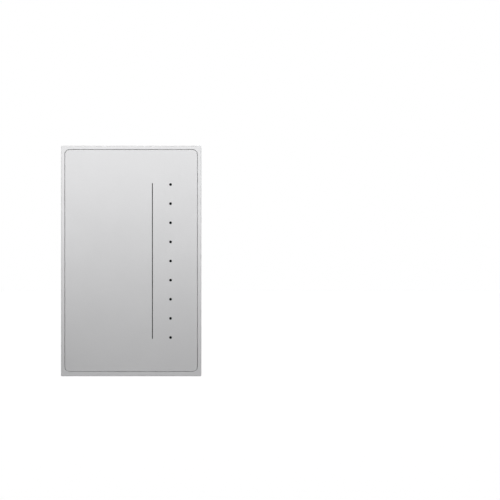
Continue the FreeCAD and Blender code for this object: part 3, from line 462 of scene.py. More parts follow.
MILLED_ALUMINIUM = PlatedMetal("mill_aluminium", Tone(206, 208, 210), 0.38, 0.1 * MM, Tone(196, 198, 201), Lay.DEEP)
FERRITE = Ferrite("ferrite", Tone(70, 70, 72), 0.6, 0.2 * MM)
COIL_TAPE = WoundTape("yellow_coil_tape", Tone(222, 186, 58), 0.36, 0.2 * MM)
ENAMELLED_WIRE = PlatedMetal("enamelled_wire", Tone(190, 98, 48), 0.26, 0.05 * MM, Tone(168, 78, 36))
YELLOW_CASE = Moulding("film_capacitor_case", Tone(226, 192, 60), 0.3, 0.25 * MM, Grain.POLISHED)
DARK_SLEEVE = Lacquered("capacitor_sleeve", Tone(36, 38, 56), 0.24, 0.1 * MM)
BLUE_LACQUER = Lacquered("varistor_lacquer", Tone(42, 92, 168), 0.22, 0.3 * MM)
BROWN_CASE = Moulding("fuse_case", Tone(110, 62, 40), 0.3, 0.2 * MM, Grain.POLISHED)
CLAMP_PLATING = PlatedMetal("clamp_plating", Tone(214, 196, 150), 0.3, 0.12 * MM, Tone(200, 184, 142), Lay.ACROSS)


def placed(name: str, data: bpy.types.ID) -> Piece:
    """Put a mesh, a lamp or a camera into the scene."""
    thing = bpy.data.objects.new(name, data)
    bpy.context.scene.collection.objects.link(thing)
    return thing


def dress(piece: Piece, finish: Finish) -> Piece:
    """Give a piece one finish all over."""
    piece.data.materials.clear()
    piece.data.materials.append(made(finish))
    return piece


# ---- Surfaces


def surface(name: str, finish: Finish, *grids: Array) -> Piece:
    """Make one object of closed skins, each from a grid of points whose columns run round.

    Args:
        name: The piece's name.
        finish: The piece's finish.
        *grids: Arrays of rows, columns and three coordinates. Their first and last rows are poles.

    Returns:
        The new mesh object, with its faces outwards.
    """
    points, quads, start = [], [], 0
    for grid in grids:
        rows, columns, _ = grid.shape
        row, column = np.meshgrid(start + np.arange(rows - 1) * columns, np.arange(columns), indexing="ij")
        after = (column + 1) % columns
        quads += np.stack([row + column, row + after, row + columns + after, row + columns + column],
                          axis=-1).reshape(-1, 4).tolist()
        points += grid.reshape(-1, 3).tolist()
        start += rows * columns
    mesh = bpy.data.meshes.new(name)
    mesh.from_pydata(points, [], quads)
    skin = bmesh.new()
    skin.from_mesh(mesh)
    bmesh.ops.remove_doubles(skin, verts=skin.verts, dist=MERGE_DISTANCE)
    bmesh.ops.recalc_face_normals(skin, faces=skin.faces)
    if skin.calc_volume(signed=True) < 0:
        bmesh.ops.reverse_faces(skin, faces=skin.faces)
    skin.to_mesh(mesh)
    skin.free()
    mesh.shade_smooth()
    mesh.set_sharp_from_angle(angle=SHARP_ANGLE)
    return dress(placed(name, mesh), finish)


def copies(skin: Array, places: Array) -> list[Array]:
    """Grids of one closed skin, put at many places."""
    return [skin + place for place in places]


def directions(path: Array) -> Array:
    """Unit vectors along a path, one for each of its points."""
    along = np.gradient(path, axis=0)
    return along / np.linalg.norm(along, axis=1, keepdims=True)


def capped(path: Array, skin: Array) -> Array:
    """Close a skin that follows a path with a pole at each of the path's ends."""
    poles = np.repeat(path[[0, -1], None], skin.shape[1], axis=1)
    return np.concatenate([poles[:1], skin, poles[1:]])


def around(columns: int) -> Array:
    """Angles of a full turn as one row, without the last, which is the first again."""
    return np.linspace(0, 2 * np.pi, columns, endpoint=False)[None, :]


def turned(profile: Array, centre: Point, columns: int = 64) -> Array:
    """Turn a profile round an axis along Y.

    Formula: each point of radius r and height h becomes a ring of x = r cos a, y = h, z = r sin a.

    Args:
        profile: Rows of radius and height, from one pole to the other.
        centre: Where radius and height are 0.
        columns: Points in a ring.

    Returns:
        Grid of points.
    """
    angle = around(columns)
    radius, height = profile[:, :1], profile[:, 1:]
    x, y, z = centre
    return np.stack([x + radius * np.cos(angle), y + height + 0 * angle, z + radius * np.sin(angle)], axis=-1)


def tube(path: Array, radius: float, columns: int = 12) -> Array:
    """Carry a circle along a path, with its ends closed in a point.

    Formula: at each point the circle lies across the path's direction, on two axes square to it that are found from
    the direction and a fixed vector that no part of the path follows.

    Args:
        path: Points of the path.
        radius: Radius of the circle.
        columns: Points in a ring.

    Returns:
        Grid of points.
    """
    along = directions(path)
    first = np.cross(along, np.array(OFF_AXIS))
    first /= np.linalg.norm(first, axis=1, keepdims=True)
    second = np.cross(along, first)
    angle = around(columns)[0]
    ring = first[:, None, :] * np.cos(angle)[None, :, None] + second[:, None, :] * np.sin(angle)[None, :, None]
    return capped(path, path[:, None, :] + radius * ring)


def rounded_ring(half: tuple[float, float], corner: float, angle: Array) -> tuple[Array, Array]:
    """Outline of a rectangle with rounded corners.

    Formula: the unit circle's point is drawn out to a power that squares it off, then scaled to the half sides. The
    power falls as the corner gets smaller.

    Args:
        half: Half sides.
        corner: About the radius of the corners.
        angle: Angles round the outline.

    Returns:
        The two coordinates of the outline's points.
    """
    power = np.clip(0.9 * corner / min(half), 0.08, 1.0)
    across, up = np.cos(angle), np.sin(angle)
    return half[0] * np.sign(across) * np.abs(across) ** power, half[1] * np.sign(up) * np.abs(up) ** power


def rounded_path(corners: Array, radius: float) -> Array:
    """Round the corners of a run of straight lines.

    Formula: each corner gives way to a parabola between the two points that lie one radius from it on its lines.

    Args:
        corners: The run's ends and corners.
        radius: How far from a corner its rounding starts.

    Returns:
        Points of the rounded run.
    """
    corner = corners[1:-1]
    first, last = ((corner + radius * side / np.linalg.norm(side, axis=1, keepdims=True))[:, None]
                   for side in (corners[:-2] - corner, corners[2:] - corner))
    share = np.linspace(0, 1, 11)[None, :, None]
    bends = (1 - share) ** 2 * first + 2 * share * (1 - share) * corner[:, None] + share ** 2 * last
    return np.concatenate([corners[:1], bends.reshape(-1, corners.shape[1]), corners[-1:]])


def strip(path: Array, height: float, width: float, thickness: float) -> Array:
    """Carry a thin rectangle along a path at one height.

    Formula: at each point the rectangle's short side lies across the path's direction in X and Y, and its long side
    lies along Z. Both ends close in a point.

    Args:
        path: Points of the path, in X and Y.
        height: Z of its middle.
        width: Long side.
        thickness: Short side.

    Returns:
        Grid of points.
    """
    along = directions(path)
    across, up = rounded_ring((thickness / 2, width / 2), 0.2 * thickness, around(16)[0])
    normal = np.stack([-along[:, 1], along[:, 0]], axis=-1)
    place = path[:, None] + normal[:, None] * across[None, :, None]
    level = np.broadcast_to(height + up[None, :, None], (*place.shape[:2], 1))
    return capped(np.pad(path, ((0, 0), (0, 1)), constant_values=height), np.concatenate([place, level], axis=-1))


def brick(size: Point, edge: float) -> Array:
    """Small block with softened edges, about its own middle.

    Formula: rings along X, each a squared-off circle in Y and Z. The rings at both ends are smaller by the edge, and
    close in a point.

    Args:
        size: Length, depth and height.
        edge: About the radius of the edges.

    Returns:
        Grid of points.
    """
    half = np.array(size) / 2
    angle = around(16)
    deep, up = rounded_ring((half[1], half[2]), edge, angle)
    ends = np.array([0, 1 - edge / half[1], 1, 1, 1 - edge / half[1], 0])[:, None]
    along = np.array([-half[0], -half[0], edge - half[0], half[0] - edge, half[0], half[0]])[:, None]
    return np.stack([along + 0 * angle, ends * deep, ends * up], axis=-1)


def rolled(radius: float, height: float, edge: float) -> Array:
    """Profile of a round part's top edge: a quarter of a circle from its side onto its end."""
    roll = np.linspace(0, np.pi / 2, 8)
    return np.stack([radius - edge + edge * np.cos(roll), height - edge + edge * np.sin(roll)], 1)


# ---- Studio


@dataclass
class Studio:
    """Floor, world, lamps and camera. The camera stands off to the right, because the switch is left of the middle."""

    frame_width: float = 260.3 * MM
    aim: tuple[float, float] = (61.9 * MM, 5.73 * MM)
    lens: float = 300.0
    sensor: float = 36.0
    floor_level: float = -60.0 * MM
    floor_size: float = 9.0
    floor_tone: float = 0.55
    floor_glow: float = 0.92
    plate_front: float = -10.0 * MM
    ambient: float = 0.08
    key_place: Point = (0.0, -0.15, 0.08)
    key_aim: Point = (0.0, -0.01, 0.04)
    key_size: tuple[float, float] = (0.45, 0.10)
    key_power: float = 0.51
    rear_lamps: list[Point] = field(
        default_factory=lambda: [(-0.55, 0.5, 0.45), (0.6, 0.45, 0.3)])
    rear_power: float = 1.9

    def backdrop_ray(self, sheet: NodeSheet) -> Socket:
        """Value of 1 for camera, mirror and glass rays, and 0 for the rays that light things."""
        rays = sheet.node("ShaderNodeLightPath", {}).outputs
        seen = sheet.sum(rays["Is Camera Ray"], rays["Is Glossy Ray"], "MAXIMUM")
        return sheet.sum(seen, rays["Is Transmission Ray"], "MAXIMUM")

    def world(self) -> None:
        """White to look at, and a plain soft light for everything else."""
        world = bpy.data.worlds.new("soft_room")
        bpy.context.scene.world = world
        sheet = NodeSheet(world, "Background")
        sheet.shade(Color=(1, 1, 1, 1), Strength=sheet.span(self.backdrop_ray(sheet), 0, 1, self.ambient, 1))

    def floor(self) -> Piece:
        """Pale floor that looks white and keeps the switch's shadow.

        Returns:
            The floor's object.
        """
        half = self.floor_size / 2
        mesh = bpy.data.meshes.new("floor")
        mesh.from_pydata([(x, y, self.floor_level) for x, y in ((-half, -half), (half, -half), (half, half),
                                                                (-half, half))], [], [(0, 1, 2, 3)])
        paint = bpy.data.materials.new("pale_floor")
        sheet = NodeSheet(paint)
        glow = sheet.sum(self.backdrop_ray(sheet), self.floor_glow, "MULTIPLY")
        sheet.shade(Base_Color=(*[self.floor_tone] * 3, 1), Roughness=0.9, Specular_IOR_Level=0.1,
                    Emission_Color=(1, 1, 1, 1), Emission_Strength=glow)
        mesh.materials.append(paint)
        floor = placed("floor", mesh)
        return floor

    def lamp(self, name: str, place: Point, aim: Point,
             size: tuple[float, float], power: float) -> Piece:
        """Add a soft lamp, which the camera doesn't see.

        Args:
            name: The lamp's name.
            place: Where it hangs.
            aim: The point that it faces.
            size: Its width and height.
            power: Its power in watts.

        Returns:
            The lamp.
        """
        light = bpy.data.lights.new(name, "AREA")
        light.shape = "RECTANGLE"
        light.size, light.size_y = size
        light.energy = power
        lamp = placed(name, light)
        lamp.location = place
        lamp.rotation_euler = (Vector(aim) - Vector(place)).to_track_quat("-Z", "Y").to_euler()
        lamp.visible_camera = False
        return lamp

    def keep_off(self, floor: Piece, lamps: list[Piece]) -> None:
        """Let the lamps light everything but the floor, so that the floor throws nothing back up the plate.

        Args:
            floor: The floor's object.
            lamps: The lamps.
        """
        left_out = bpy.data.collections.new("lit_by_the_room_alone")
        left_out.objects.link(floor)
        for lamp in lamps:
            lamp.light_linking.receiver_collection = left_out
        left_out.collection_objects[0].light_linking.link_state = "EXCLUDE"

    def camera(self) -> None:
        """Long lens straight on, at the distance that gives the photographed frame's width at the plate."""
        lens = bpy.data.cameras.new("camera")
        lens.lens = self.lens
        lens.sensor_width = self.sensor
        distance = self.frame_width * self.lens / self.sensor
        camera = placed("camera", lens)
        across, up = self.aim
        camera.location = (across, self.plate_front - distance, up)
        camera.rotation_euler = (math.radians(90), 0, 0)
        lens.clip_start, lens.clip_end = 0.05, 50
        bpy.context.scene.camera = camera

    def build(self) -> None:
        """Set up the whole studio."""
        bpy.context.scene.view_settings.view_transform = "Standard"
        self.world()
        key = self.lamp("key_lamp", self.key_place, self.key_aim, self.key_size, self.key_power)
        key.visible_glossy = False
        rear = [self.lamp(f"rear_lamp_{number}", place, (0.0, 0.0, 0.0), (0.35, 0.35), self.rear_power)
                for number, place in enumerate(self.rear_lamps)]
        self.keep_off(self.floor(), [key, *rear])
        self.camera()


# ---- Screws


class Drive(Enum):
    """How a screw is driven: half width of its slot or cross as a share of the head's radius, and its depth."""

    SLOT = (0.13, 1.0 * MM)
    CROSS = (0.16, 1.3 * MM)


class Head(Enum):
    """Shape of a screw's head, seen from its face."""

    ROUND = "round"
    HEXAGON = "hexagon"
    HEADLESS = "headless"


class Way(Enum):
    """Direction in which a screw's head faces, as the rows of X, Y and Z in its own across, out and up."""

    BACK = ((1, 0, 0), (0, 1, 0), (0, 0, 1))
    DOWN = ((1, 0, 0), (0, 0, 1), (0, -1, 0))


@dataclass(frozen=True)
class Screw:
    """One screw: its head, its shank and its thread. It is drawn on its own axis and then turned the way it faces."""

    head: Head
    drive: Drive
    head_radius: float
    head_height: float
    dome: float
    shank_radius: float
    shank_length: float
    pitch: float
    thread_depth: float
    threaded: float
    columns: int = 96

    def recess(self, x: Array, z: Array) -> Array:
        """Depth of the drive at points of the head's face.

        Formula: a cross is two crossed troughs whose floors slope down to the middle, and a slot is one trough with
        upright walls right across the head.

        Args:
            x: Distances across, in metres.
            z: Distances up, in metres.

        Returns:
            Depth below the face at each point, in metres.
        """
        width, depth = self.drive.value
        half = width * self.head_radius
        wall = 0.12 * half

        def trough(offset: Array) -> Array:
            """1 inside the trough, 0 outside, with a steep wall between."""
            return np.clip((half + wall - np.abs(offset)) / wall, 0, 1)

        if self.drive is Drive.SLOT:
            return depth * trough(z)
        reach = 0.62 * self.head_radius
        along = np.maximum(np.abs(x), np.abs(z))
        slope = np.clip(1.15 * (1 - along / reach), 0, 1)
        return depth * np.maximum(trough(x), trough(z)) * slope

    def outline(self, angle: Array) -> Array:
        """Radius of the head round its face: constant, or that of a hexagon with the given radius to its flats."""
        if self.head is not Head.HEXAGON:
            return self.head_radius + 0 * angle
        sixth = np.pi / 3
        return self.head_radius / np.cos((angle % sixth) - sixth / 2)

    def face(self, angle: Array) -> tuple[Array, Array]:
        """Rings of the head's face: growing shares of the outline over a shallow dome, less the recess.

        Args:
            angle: Angles round the face.

        Returns:
            Radius and height of every point.
        """
        share = np.concatenate([np.linspace(0, 0.94, 64), [0.975, 1.0]])[:, None]
        radius = share * self.outline(angle)
        worn = np.clip(radius / self.head_radius - 0.94, 0, None) * 0.55 * self.head_radius
        height = self.head_height - self.dome * np.clip(share, 0, 1) ** 2 - worn
        return radius, height - self.recess(radius * np.cos(angle), radius * np.sin(angle))

    def shank(self, angle: Array) -> tuple[Array, Array]:
        """Skin of the shank: its radius follows a triangle wave of depth over pitch plus angle over a full turn.

        Args:
            angle: Angles round the shank.

        Returns:
            Radius and height of every point.
        """
        start = 0.0 if self.head is Head.HEADLESS else 0.02 * self.head_radius
        steps = 1 + int(self.shank_length / self.pitch * 14)
        level = -np.linspace(start, self.shank_length - 0.35 * self.pitch, steps)[:, None]
        wave = (level / self.pitch + angle / (2 * np.pi)) % 1.0
        tooth = np.clip(1.25 - np.abs(2 * wave - 1) * 1.5, 0, 1)
        run_in = np.clip((-level - (self.shank_length - self.threaded)) / self.pitch, 0, 1)
        taper = np.clip((self.shank_length + level) / self.pitch, 0, 1)
        radius = self.shank_radius - self.thread_depth * np.maximum((1 - tooth) * run_in, 1 - taper)
        return radius, level + 0 * angle

    def points(self, seat: Point, way: Way) -> Array:
        """Work out the skin of the screw, from the middle of its face to the middle of its tip.

        Args:
            seat: Middle of the seat, where head and shank meet.
            way: The direction in which the head faces.

        Returns:
            Grid of points.
        """
        angle = around(self.columns)
        face_radius, face_height = self.face(angle)
        shank_radius, shank_height = self.shank(angle)
        level = 0 * angle
        tip = -self.shank_length + level
        radii = [face_radius]
        heights = [face_height]
        if self.head is not Head.HEADLESS:
            radii += [self.outline(angle), self.shank_radius + level]
            heights += [level, level]
        radii += [shank_radius, self.shank_radius - 1.3 * self.thread_depth + level, level]
        heights += [shank_height, tip, tip]
        radius, height = np.concatenate(radii), np.concatenate(heights)
        own = np.stack([radius * np.cos(angle), height, radius * np.sin(angle)], axis=-1)
        return np.array(seat) + own @ np.array(way.value, dtype=float)


# ---- Sub-assemblies


@dataclass
class SubAssembly:
    """What every sub-assembly has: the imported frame, the body that carries it, and its solids with their finishes."""

    frame: dict[str, Any]
    body: str = "switch"
    finishes: ClassVar[dict[str, Finish]] = {}

    def carry(self, piece: Piece, slot: str, node: str = "") -> Piece:
        """Let a piece ride on the body.

        Args:
            piece: The piece.
            slot: The record's slot of its finish; not used.
            node: The solid that it stands for, or nothing for an extra piece.

        Returns:
            The piece.
        """
        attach(piece, self.body)
        if node:
            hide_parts(node)
        return piece

    def middle(self, node: str) -> tuple[Array, Array]:
        """Middle and half sides of a solid's box."""
        low, high = (np.array(corner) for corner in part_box(node))
        return (low + high) / 2, (high - low) / 2

    def pieces(self) -> list[Piece]:
        """Finer pieces of the sub-assembly, none unless it has its own."""
        return []

    def build(self) -> list[Piece]:
        """Dress the solids and make the finer pieces.

        Returns:
            Everything that was dressed or made.
        """
        return [dress(self.frame["nodes"][node], finish) for node, finish in self.finishes.items()] + self.pieces()


@dataclass
class FrontPlate(SubAssembly):
    """Border frame with the touch panel, the line and the dots."""

    finishes: ClassVar[dict[str, Finish]] = {
        "cover_frame": SILVER_FRAME_PAINTED_LIGHTER, "touch_panel": SILVER, "line_light_guide": LINE_LENS, "dot_light_guide": DOT_LENS}


@dataclass
class ControlUnit(SubAssembly):
    """Everything between the panel and the base plate: the sensor film, the lights, the board and the push switches."""

    finishes: ClassVar[dict[str, Finish]] = {
        "slide_sensor_film": AMBER_FILM, "sensor_flex_tail": AMBER_FILM, "flex_connector": WHITE_PLASTIC,
        "light_baffle": BLACK_SPACER, "indicator_leds": LED_RESIN, "line_leds": LED_RESIN,
        "control_board": CONTROL_LACQUER, "switch_bodies": BLACK_SWITCH, "switch_plungers": WHITE_PLASTIC,
        "return_springs": SPRING_STEEL, "wireless_module": CONTROL_LACQUER, "module_shield": TINNED_CAN,
        "antenna_trace": GOLD_COPPER, "microcontroller": CHIP_RESIN, "touch_controller": CHIP_RESIN,
        "link_socket": BLACK_SWITCH}
    part_size: Point = (1.6 * MM, 0.45 * MM, 0.8 * MM)
    part_end: float = 0.3 * MM
    part_pitch: float = 2.0 * MM
    part_clearance: float = 1.5 * MM
    travel: float = 0.5 * MM
    leaf_length: float = 5.0 * MM
    leaf_width: float = 3.0 * MM
    leaf_thickness: float = 0.25 * MM
    leaf_tip: float = 1.2 * MM
    film_thickness: float = 0.2 * MM
    film_bend: float = 1.1 * MM

    def follow_panel(self, piece: Piece, front: float, back: float) -> Piece:
        """Give a soft piece its own copy of its mesh, and leave its shape as it is."""
        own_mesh(piece)
        return piece

    def leaf(self, side: int, heel: float, front: float, back: float, height: float) -> Array:
        """Leaf spring: a foot on the board, a folded heel, an arm that rises to the panel and a turned-down tip.

        Formula: a strip along the five corners of these lines, each rounded off.

        Args:
            side: 1 or -1, the side of the board.
            heel: Place of the heel across the board.
            front: Depth of the panel's back.
            back: Depth of the board's face.
            height: Place along the board.

        Returns:
            Grid of the spring's points.
        """
        half = self.leaf_thickness / 2
        toe = heel - side * self.leaf_length
        crest = toe + side * self.leaf_tip
        inner = heel - side * half
        lift = 0.04 * self.leaf_tip
        run = np.array([(toe, back - half), (inner, back - half), (inner, back - 5 * half),
                        (crest, front + half - lift), (toe + side * half, front + self.leaf_tip / 2)])
        return strip(rounded_path(run, 1.6 * half), height, self.leaf_width, self.leaf_thickness)

    def springs(self) -> Piece:
        """Four leaf springs between the board and the panel.

        Returns:
            The springs.
        """
        low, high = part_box("return_springs")
        heights = (low[2] + self.leaf_width / 2, high[2] - self.leaf_width / 2)
        leaves = [self.leaf(side, side * high[0], low[1], high[1], height) for side in (-1, 1) for height in heights]
        piece = self.carry(surface("leaf_springs", SPRING_STEEL, *leaves), "spring_steel", "return_springs")
        return self.follow_panel(piece, low[1], high[1])

    def tail(self) -> Piece:
        """Tail of the sensor film, bent in an S from the panel to its connector.

        Formula: a strip along three straight lines at right angles, with both corners rounded off.

        Returns:
            The tail.
        """
        low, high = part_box("sensor_flex_tail")
        front, back = low[1] + self.film_thickness / 2, high[1] - self.film_thickness / 2
        middle, height = (low[0] + high[0]) / 2, (low[2] + high[2]) / 2
        run = np.array([(high[0], front), (middle, front), (middle, back), (low[0], back)])
        skin = strip(rounded_path(run, self.film_bend), height, high[2] - low[2], self.film_thickness)
        piece = self.carry(surface("sensor_film_tail", AMBER_FILM, skin), "sensor_film", "sensor_flex_tail")
        return self.follow_panel(piece, low[1], high[1])

    def row_beside(self, node: str, side: int, count: int) -> Array:
        """Places of a row of small parts above or below a chip.

        Args:
            node: The chip's node.
            side: 1 for above, -1 for below.
            count: How many parts stand in the row.

        Returns:
            Rows of X, Y and Z.
        """
        low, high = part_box(node)
        across = (low[0] + high[0]) / 2 + self.part_pitch * (np.arange(count) - (count - 1) / 2)
        up = (high[2] if side > 0 else low[2]) + side * self.part_clearance
        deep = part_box("control_board")[0][1] - self.part_size[1] / 2
        return np.stack([across, np.full(count, deep), np.full(count, up)], axis=-1)

    def pieces(self) -> list[Piece]:
        """Springs, the film's tail, small capacitors beside the chips and small resistors by the radio module.

        Returns:
            All of them, with the tinned ends of the small parts.
        """
        length, depth, height = self.part_size
        body = brick((length - 2 * self.part_end, 0.96 * depth, 0.96 * height), 0.04 * MM)
        end = brick((self.part_end, depth, height), 0.05 * MM)
        reach = np.array([(length - self.part_end) / 2, 0, 0])
        by_chips = np.concatenate([self.row_beside(node, side, count) for node, count in
                                   (("microcontroller", 3), ("touch_controller", 2)) for side in (1, -1)])
        by_module = np.concatenate([self.row_beside("wireless_module", 1, 6), self.row_beside("wireless_module", -1, 7),
                                    self.row_beside("flex_connector", 1, 2)])
        ends = np.concatenate([places + side * reach for places in (by_chips, by_module) for side in (-1, 1)])
        return [self.springs(), self.tail(),
                self.carry(surface("small_capacitors", CERAMIC, *copies(body, by_chips)), "chip_epoxy"),
                self.carry(surface("small_resistors", CHIP_RESIN, *copies(body, by_module)), "chip_epoxy"),
                self.carry(surface("small_part_ends", TINNED_CAN, *copies(end, ends)), "tinned_can")]


@dataclass
class WallFixing(SubAssembly):
    """Base plate, steel strap and earth screw."""

    finishes: ClassVar[dict[str, Finish]] = {
        "base_plate": BASE_PLASTIC, "mounting_strap": BRIGHT_ZINC, "ground_screw": GREEN_ZINC}
    earth_seat: Point = (0.0, 5.0 * MM, -35.0 * MM)
    earth_screw: Screw = Screw(Head.HEXAGON, Drive.SLOT, 3.175 * MM, 2.6 * MM, 0.0, 1.75 * MM, 1.8 * MM, 0.79 * MM,
                               0.2 * MM, 1.8 * MM, 120)

    def pieces(self) -> list[Piece]:
        """Slotted green hexagon screw for the earth wire."""
        screw = surface("earth_hex_screw", GREEN_ZINC, self.earth_screw.points(self.earth_seat, Way.DOWN))
        return [self.carry(screw, "ground_green", "ground_screw")]


@dataclass
class RearHousing(SubAssembly):
    """Housing in the wall box, with its two long screws."""

    finishes: ClassVar[dict[str, Finish]] = {"rear_housing": HOUSING_PLASTIC, "housing_screws": SCREW_ZINC}
    screw_places: tuple[tuple[float, float], ...] = ((-17.6 * MM, 28.6 * MM), (17.6 * MM, -28.6 * MM))
    screw_seat: float = 24.4 * MM
    screw: Screw = Screw(Head.ROUND, Drive.CROSS, 2.3 * MM, 1.8 * MM, 0.35 * MM, 1.25 * MM, 25.6 * MM, 0.8 * MM,
                         0.18 * MM, 6.0 * MM)

    def pieces(self) -> list[Piece]:
        """Cross-recessed pan-head screws in the stepped corners."""
        screws = [self.screw.points((x, self.screw_seat, z), Way.BACK) for x, z in self.screw_places]
        return [self.carry(surface("housing_cross_screws", SCREW_ZINC, *screws), "zinc_steel", "housing_screws")]


@dataclass
class PowerUnit(SubAssembly):
    """Power board with its parts, the heat sink and the plug."""

    finishes: ClassVar[dict[str, Finish]] = {
        "link_header": BLACK_SWITCH, "link_header_pins": GOLD_COPPER, "power_board": POWER_LACQUER,
        "heat_sink": MILLED_ALUMINIUM, "power_transistors": CHIP_RESIN, "transistor_clip": SPRING_STEEL,
        "transformer_core": FERRITE, "transformer_winding": COIL_TAPE, "choke_core": FERRITE,
        "choke_winding": ENAMELLED_WIRE, "film_capacitor": YELLOW_CASE, "bulk_capacitor": DARK_SLEEVE,
        "varistor": BLUE_LACQUER, "fuse": BROWN_CASE, "bridge_rectifier": CHIP_RESIN}
    wire_radius: float = 0.38 * MM
    turns: int = 10
    joint_radius: float = 0.95 * MM
    joint_height: float = 1.1 * MM
    lead_radius: float = 0.34 * MM
    lead_shares: ClassVar[dict[str, tuple[tuple[float, ...], tuple[float, ...]]]] = {
        "bulk_capacitor": ((-0.5, 0.5), (0,)), "film_capacitor": ((0,), (-0.8, 0.8)),
        "varistor": ((-0.55, 0.55), (0,)), "fuse": ((-0.55, 0.55), (0,)),
        "bridge_rectifier": ((-0.85, -0.3, 0.3, 0.85), (0,)),
        "power_transistors": ((-0.75, -0.55, -0.35, 0.35, 0.55, 0.75), (0,)),
        "choke_core": ((-0.75, 0.75), (-0.7, 0.7)), "transformer_winding": ((-0.8, 0, 0.8), (-0.8, 0.8))}

    def can(self) -> list[Piece]:
        """Sleeved can: a groove near its foot, a rolled shoulder, and a scored bare metal top.

        Formula: the sleeve is a profile turned round Y, whose groove is as deep as a squared sine. The top sinks the
        more, the nearer a point lies to one of the two lines that cross in its middle.

        Returns:
            The sleeve and the top.
        """
        (x, y, z), half = self.middle("bulk_capacitor")
        radius, height = half[0], 2 * half[1]
        groove = np.linspace(0, np.pi, 9)
        waist = np.stack([radius - 0.07 * radius * np.sin(groove) ** 2, (0.09 + 0.07 * groove / np.pi) * height], 1)
        rim = 0.988 * height
        profile = np.concatenate([[[0, 0], [0.9 * radius, 0], [0.97 * radius, 0.02 * height]], waist,
                                  rolled(radius, height, 0.08 * radius),
                                  [[0.8 * radius, height], [0.78 * radius, rim], [0, rim]]])
        sleeve = surface("capacitor_sleeve", DARK_SLEEVE, turned(profile, (x, y - half[1], z)))
        angle = around(72)
        share = np.linspace(0, 1, 26)[:, None]
        across, up = 0.77 * radius * share * np.cos(angle), 0.77 * radius * share * np.sin(angle)
        score = np.clip(1 - np.minimum(np.abs(across), np.abs(up)) / (0.045 * radius), 0, 1)
        dip = score * np.clip((0.9 - share) / 0.1, 0, 1) * 0.02 * height
        level = y + half[1] - 0.01 * height
        top = np.stack([x + across, level - dip, z + up], axis=-1)
        under = np.broadcast_to([x, level - 0.03 * height, z], (1, angle.size, 3))
        cap = surface("capacitor_top", MILLED_ALUMINIUM, np.concatenate([top, under]))
        return [self.carry(piece, "capacitor_sleeve", "bulk_capacitor") for piece in (cap, sleeve)]

    def coil(self) -> Piece:
        """Two layers of enamelled wire on the choke.

        Formula: the wire's middle line runs round a rounded rectangle while it moves along X by one wire's width a
        turn; the inner layer stands half a width back and is smaller by one width all round.

        Returns:
            The wound wire.
        """
        centre, half = self.middle("choke_winding")
        radius = min(self.wire_radius, half[0] / (self.turns + 1))
        layers = []
        for layer in range(2):
            turns = self.turns - layer
            angle = np.linspace(0, 2 * np.pi * turns, 64 * turns)
            inset = (1 + 1.8 * layer) * radius
            deep, up = rounded_ring((half[1] - inset, half[2] - inset), 1.2 * MM, angle)
            run = (half[0] - radius) * (1 - layer / self.turns)
            across = np.linspace(-run, run, angle.size)
            layers.append(tube(centre + np.stack([across, deep, up], axis=-1), radius))
        return self.carry(surface("choke_wire_turns", ENAMELLED_WIRE, *layers), "enamelled_wire", "choke_winding")

    def disc(self) -> Piece:
        """Dipped disc with soft edges, thicker in its middle.

        Formula: the radius is the cosine of an angle to a small power, and the thickness its sine to a larger one.

        Returns:
            The disc.
        """
        (x, y, z), half = self.middle("varistor")
        lift = np.linspace(-np.pi / 2, np.pi / 2, 31)[:, None]
        angle = around(64)
        radius = half[0] * np.abs(np.cos(lift)) ** 0.42
        radius[[0, -1]] = 0
        thick = half[2] * np.sign(np.sin(lift)) * np.abs(np.sin(lift)) ** 0.9
        grid = np.stack([x + radius * np.cos(angle), y + radius * np.sin(angle), z + thick + 0 * angle], axis=-1)
        return self.carry(surface("varistor_disc", BLUE_LACQUER, grid), "varistor_lacquer", "varistor")

    def small_fuse(self) -> Piece:
        """Round fuse with a stepped foot and a rounded top.

        Formula: a profile turned round Y.

        Returns:
            The fuse.
        """
        (x, y, z), half = self.middle("fuse")
        radius, height = half[0], 2 * half[1]
        profile = np.concatenate([[[0, 0], [radius, 0], [radius, 0.12 * height], [0.93 * radius, 0.14 * height],
                                   [0.93 * radius, 0.2 * height], [radius, 0.22 * height]],
                                  rolled(radius, height, 0.25 * radius), [[0, height]]])
        case = surface("fuse_case", BROWN_CASE, turned(profile, (x, y - half[1], z)))
        return self.carry(case, "fuse_body", "fuse")

    def leads(self, node: str, across: tuple[float, ...], up: tuple[float, ...]) -> Array:
        """Places where a part's leads come through the board.

        Args:
            node: The part's node.
            across: Places of the leads as shares of its half width, from its middle.
            up: The same for its half height.

        Returns:
            Rows of X, Y and Z on the board's front face.
        """
        centre, half = self.middle(node)
        x, z = (grid.ravel() for grid in np.meshgrid(across, up))
        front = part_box("power_board")[0][1]
        return np.stack([centre[0] + half[0] * x, np.full(x.size, front), centre[2] + half[2] * z], axis=-1)

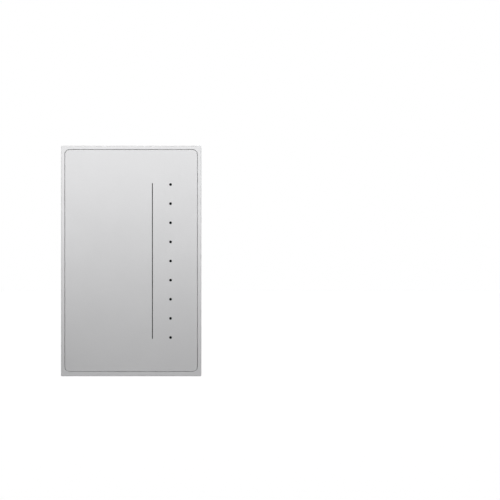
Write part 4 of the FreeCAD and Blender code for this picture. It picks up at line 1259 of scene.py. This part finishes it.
    def solder(self) -> Piece:
        """Solder joints with the cut ends of the leads, on the side of the board away from the parts.

        Formula: the joint's radius falls from the pad to the lead with the square of what is left of its height.

        Returns:
            The joints.
        """
        rise = np.linspace(0, 0.7, 9)
        fillet = np.stack([self.lead_radius + (self.joint_radius - self.lead_radius) * (1 - rise / 0.7) ** 2,
                           -rise * self.joint_height], 1)
        tip, lead = self.joint_height, self.lead_radius
        profile = np.concatenate([[[0, 0]], fillet, [[lead, -0.95 * tip], [0.8 * lead, -tip], [0, -tip]]])
        places = np.concatenate([self.leads(node, *shares) for node, shares in self.lead_shares.items()])
        joints = copies(turned(profile, (0.0, 0.0, 0.0), 20), places)
        return self.carry(surface("solder_joints", SOLDER, *joints), "tinned_can")

    def pieces(self) -> list[Piece]:
        """Sleeved can, wound choke, dipped disc, fuse and solder joints."""
        return [*self.can(), self.coil(), self.disc(), self.small_fuse(), self.solder()]


@dataclass
class TerminalRow(SubAssembly):
    """Terminal block with its clamps and screws."""

    finishes: ClassVar[dict[str, Finish]] = {
        "terminal_block": TERMINAL_PLASTIC, "terminal_clamps": CLAMP_PLATING, "terminal_screws": SCREW_ZINC}
    screw: Screw = Screw(Head.HEADLESS, Drive.SLOT, 2.0 * MM, 0.0, 0.0, 2.0 * MM, 5.0 * MM, 0.7 * MM, 0.16 * MM,
                         5.0 * MM)

    def pieces(self) -> list[Piece]:
        """Slotted headless screws that stand in the block's wells."""
        low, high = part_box("terminal_screws")
        radius = self.screw.shank_radius
        middle = (low[2] + high[2]) / 2
        places = [(x, high[1], middle) for x in np.linspace(low[0] + radius, high[0] - radius, 3)]
        screws = [self.screw.points(place, Way.BACK) for place in places]
        return [self.carry(surface("clamp_screws", SCREW_ZINC, *screws), "zinc_steel", "terminal_screws")]


def main() -> None:
    """Load the solids, set up the studio and build every sub-assembly."""
    logging.basicConfig(level=logging.INFO, format="%(message)s")
    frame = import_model()
    Studio().build()
    for kind in (FrontPlate, ControlUnit, WallFixing, RearHousing, PowerUnit, TerminalRow):
        for piece in kind(frame).build():
            log.info("%s: %s, %d faces", kind.__name__, piece.name, len(piece.data.polygons))


if __name__ == "__main__":
    main()
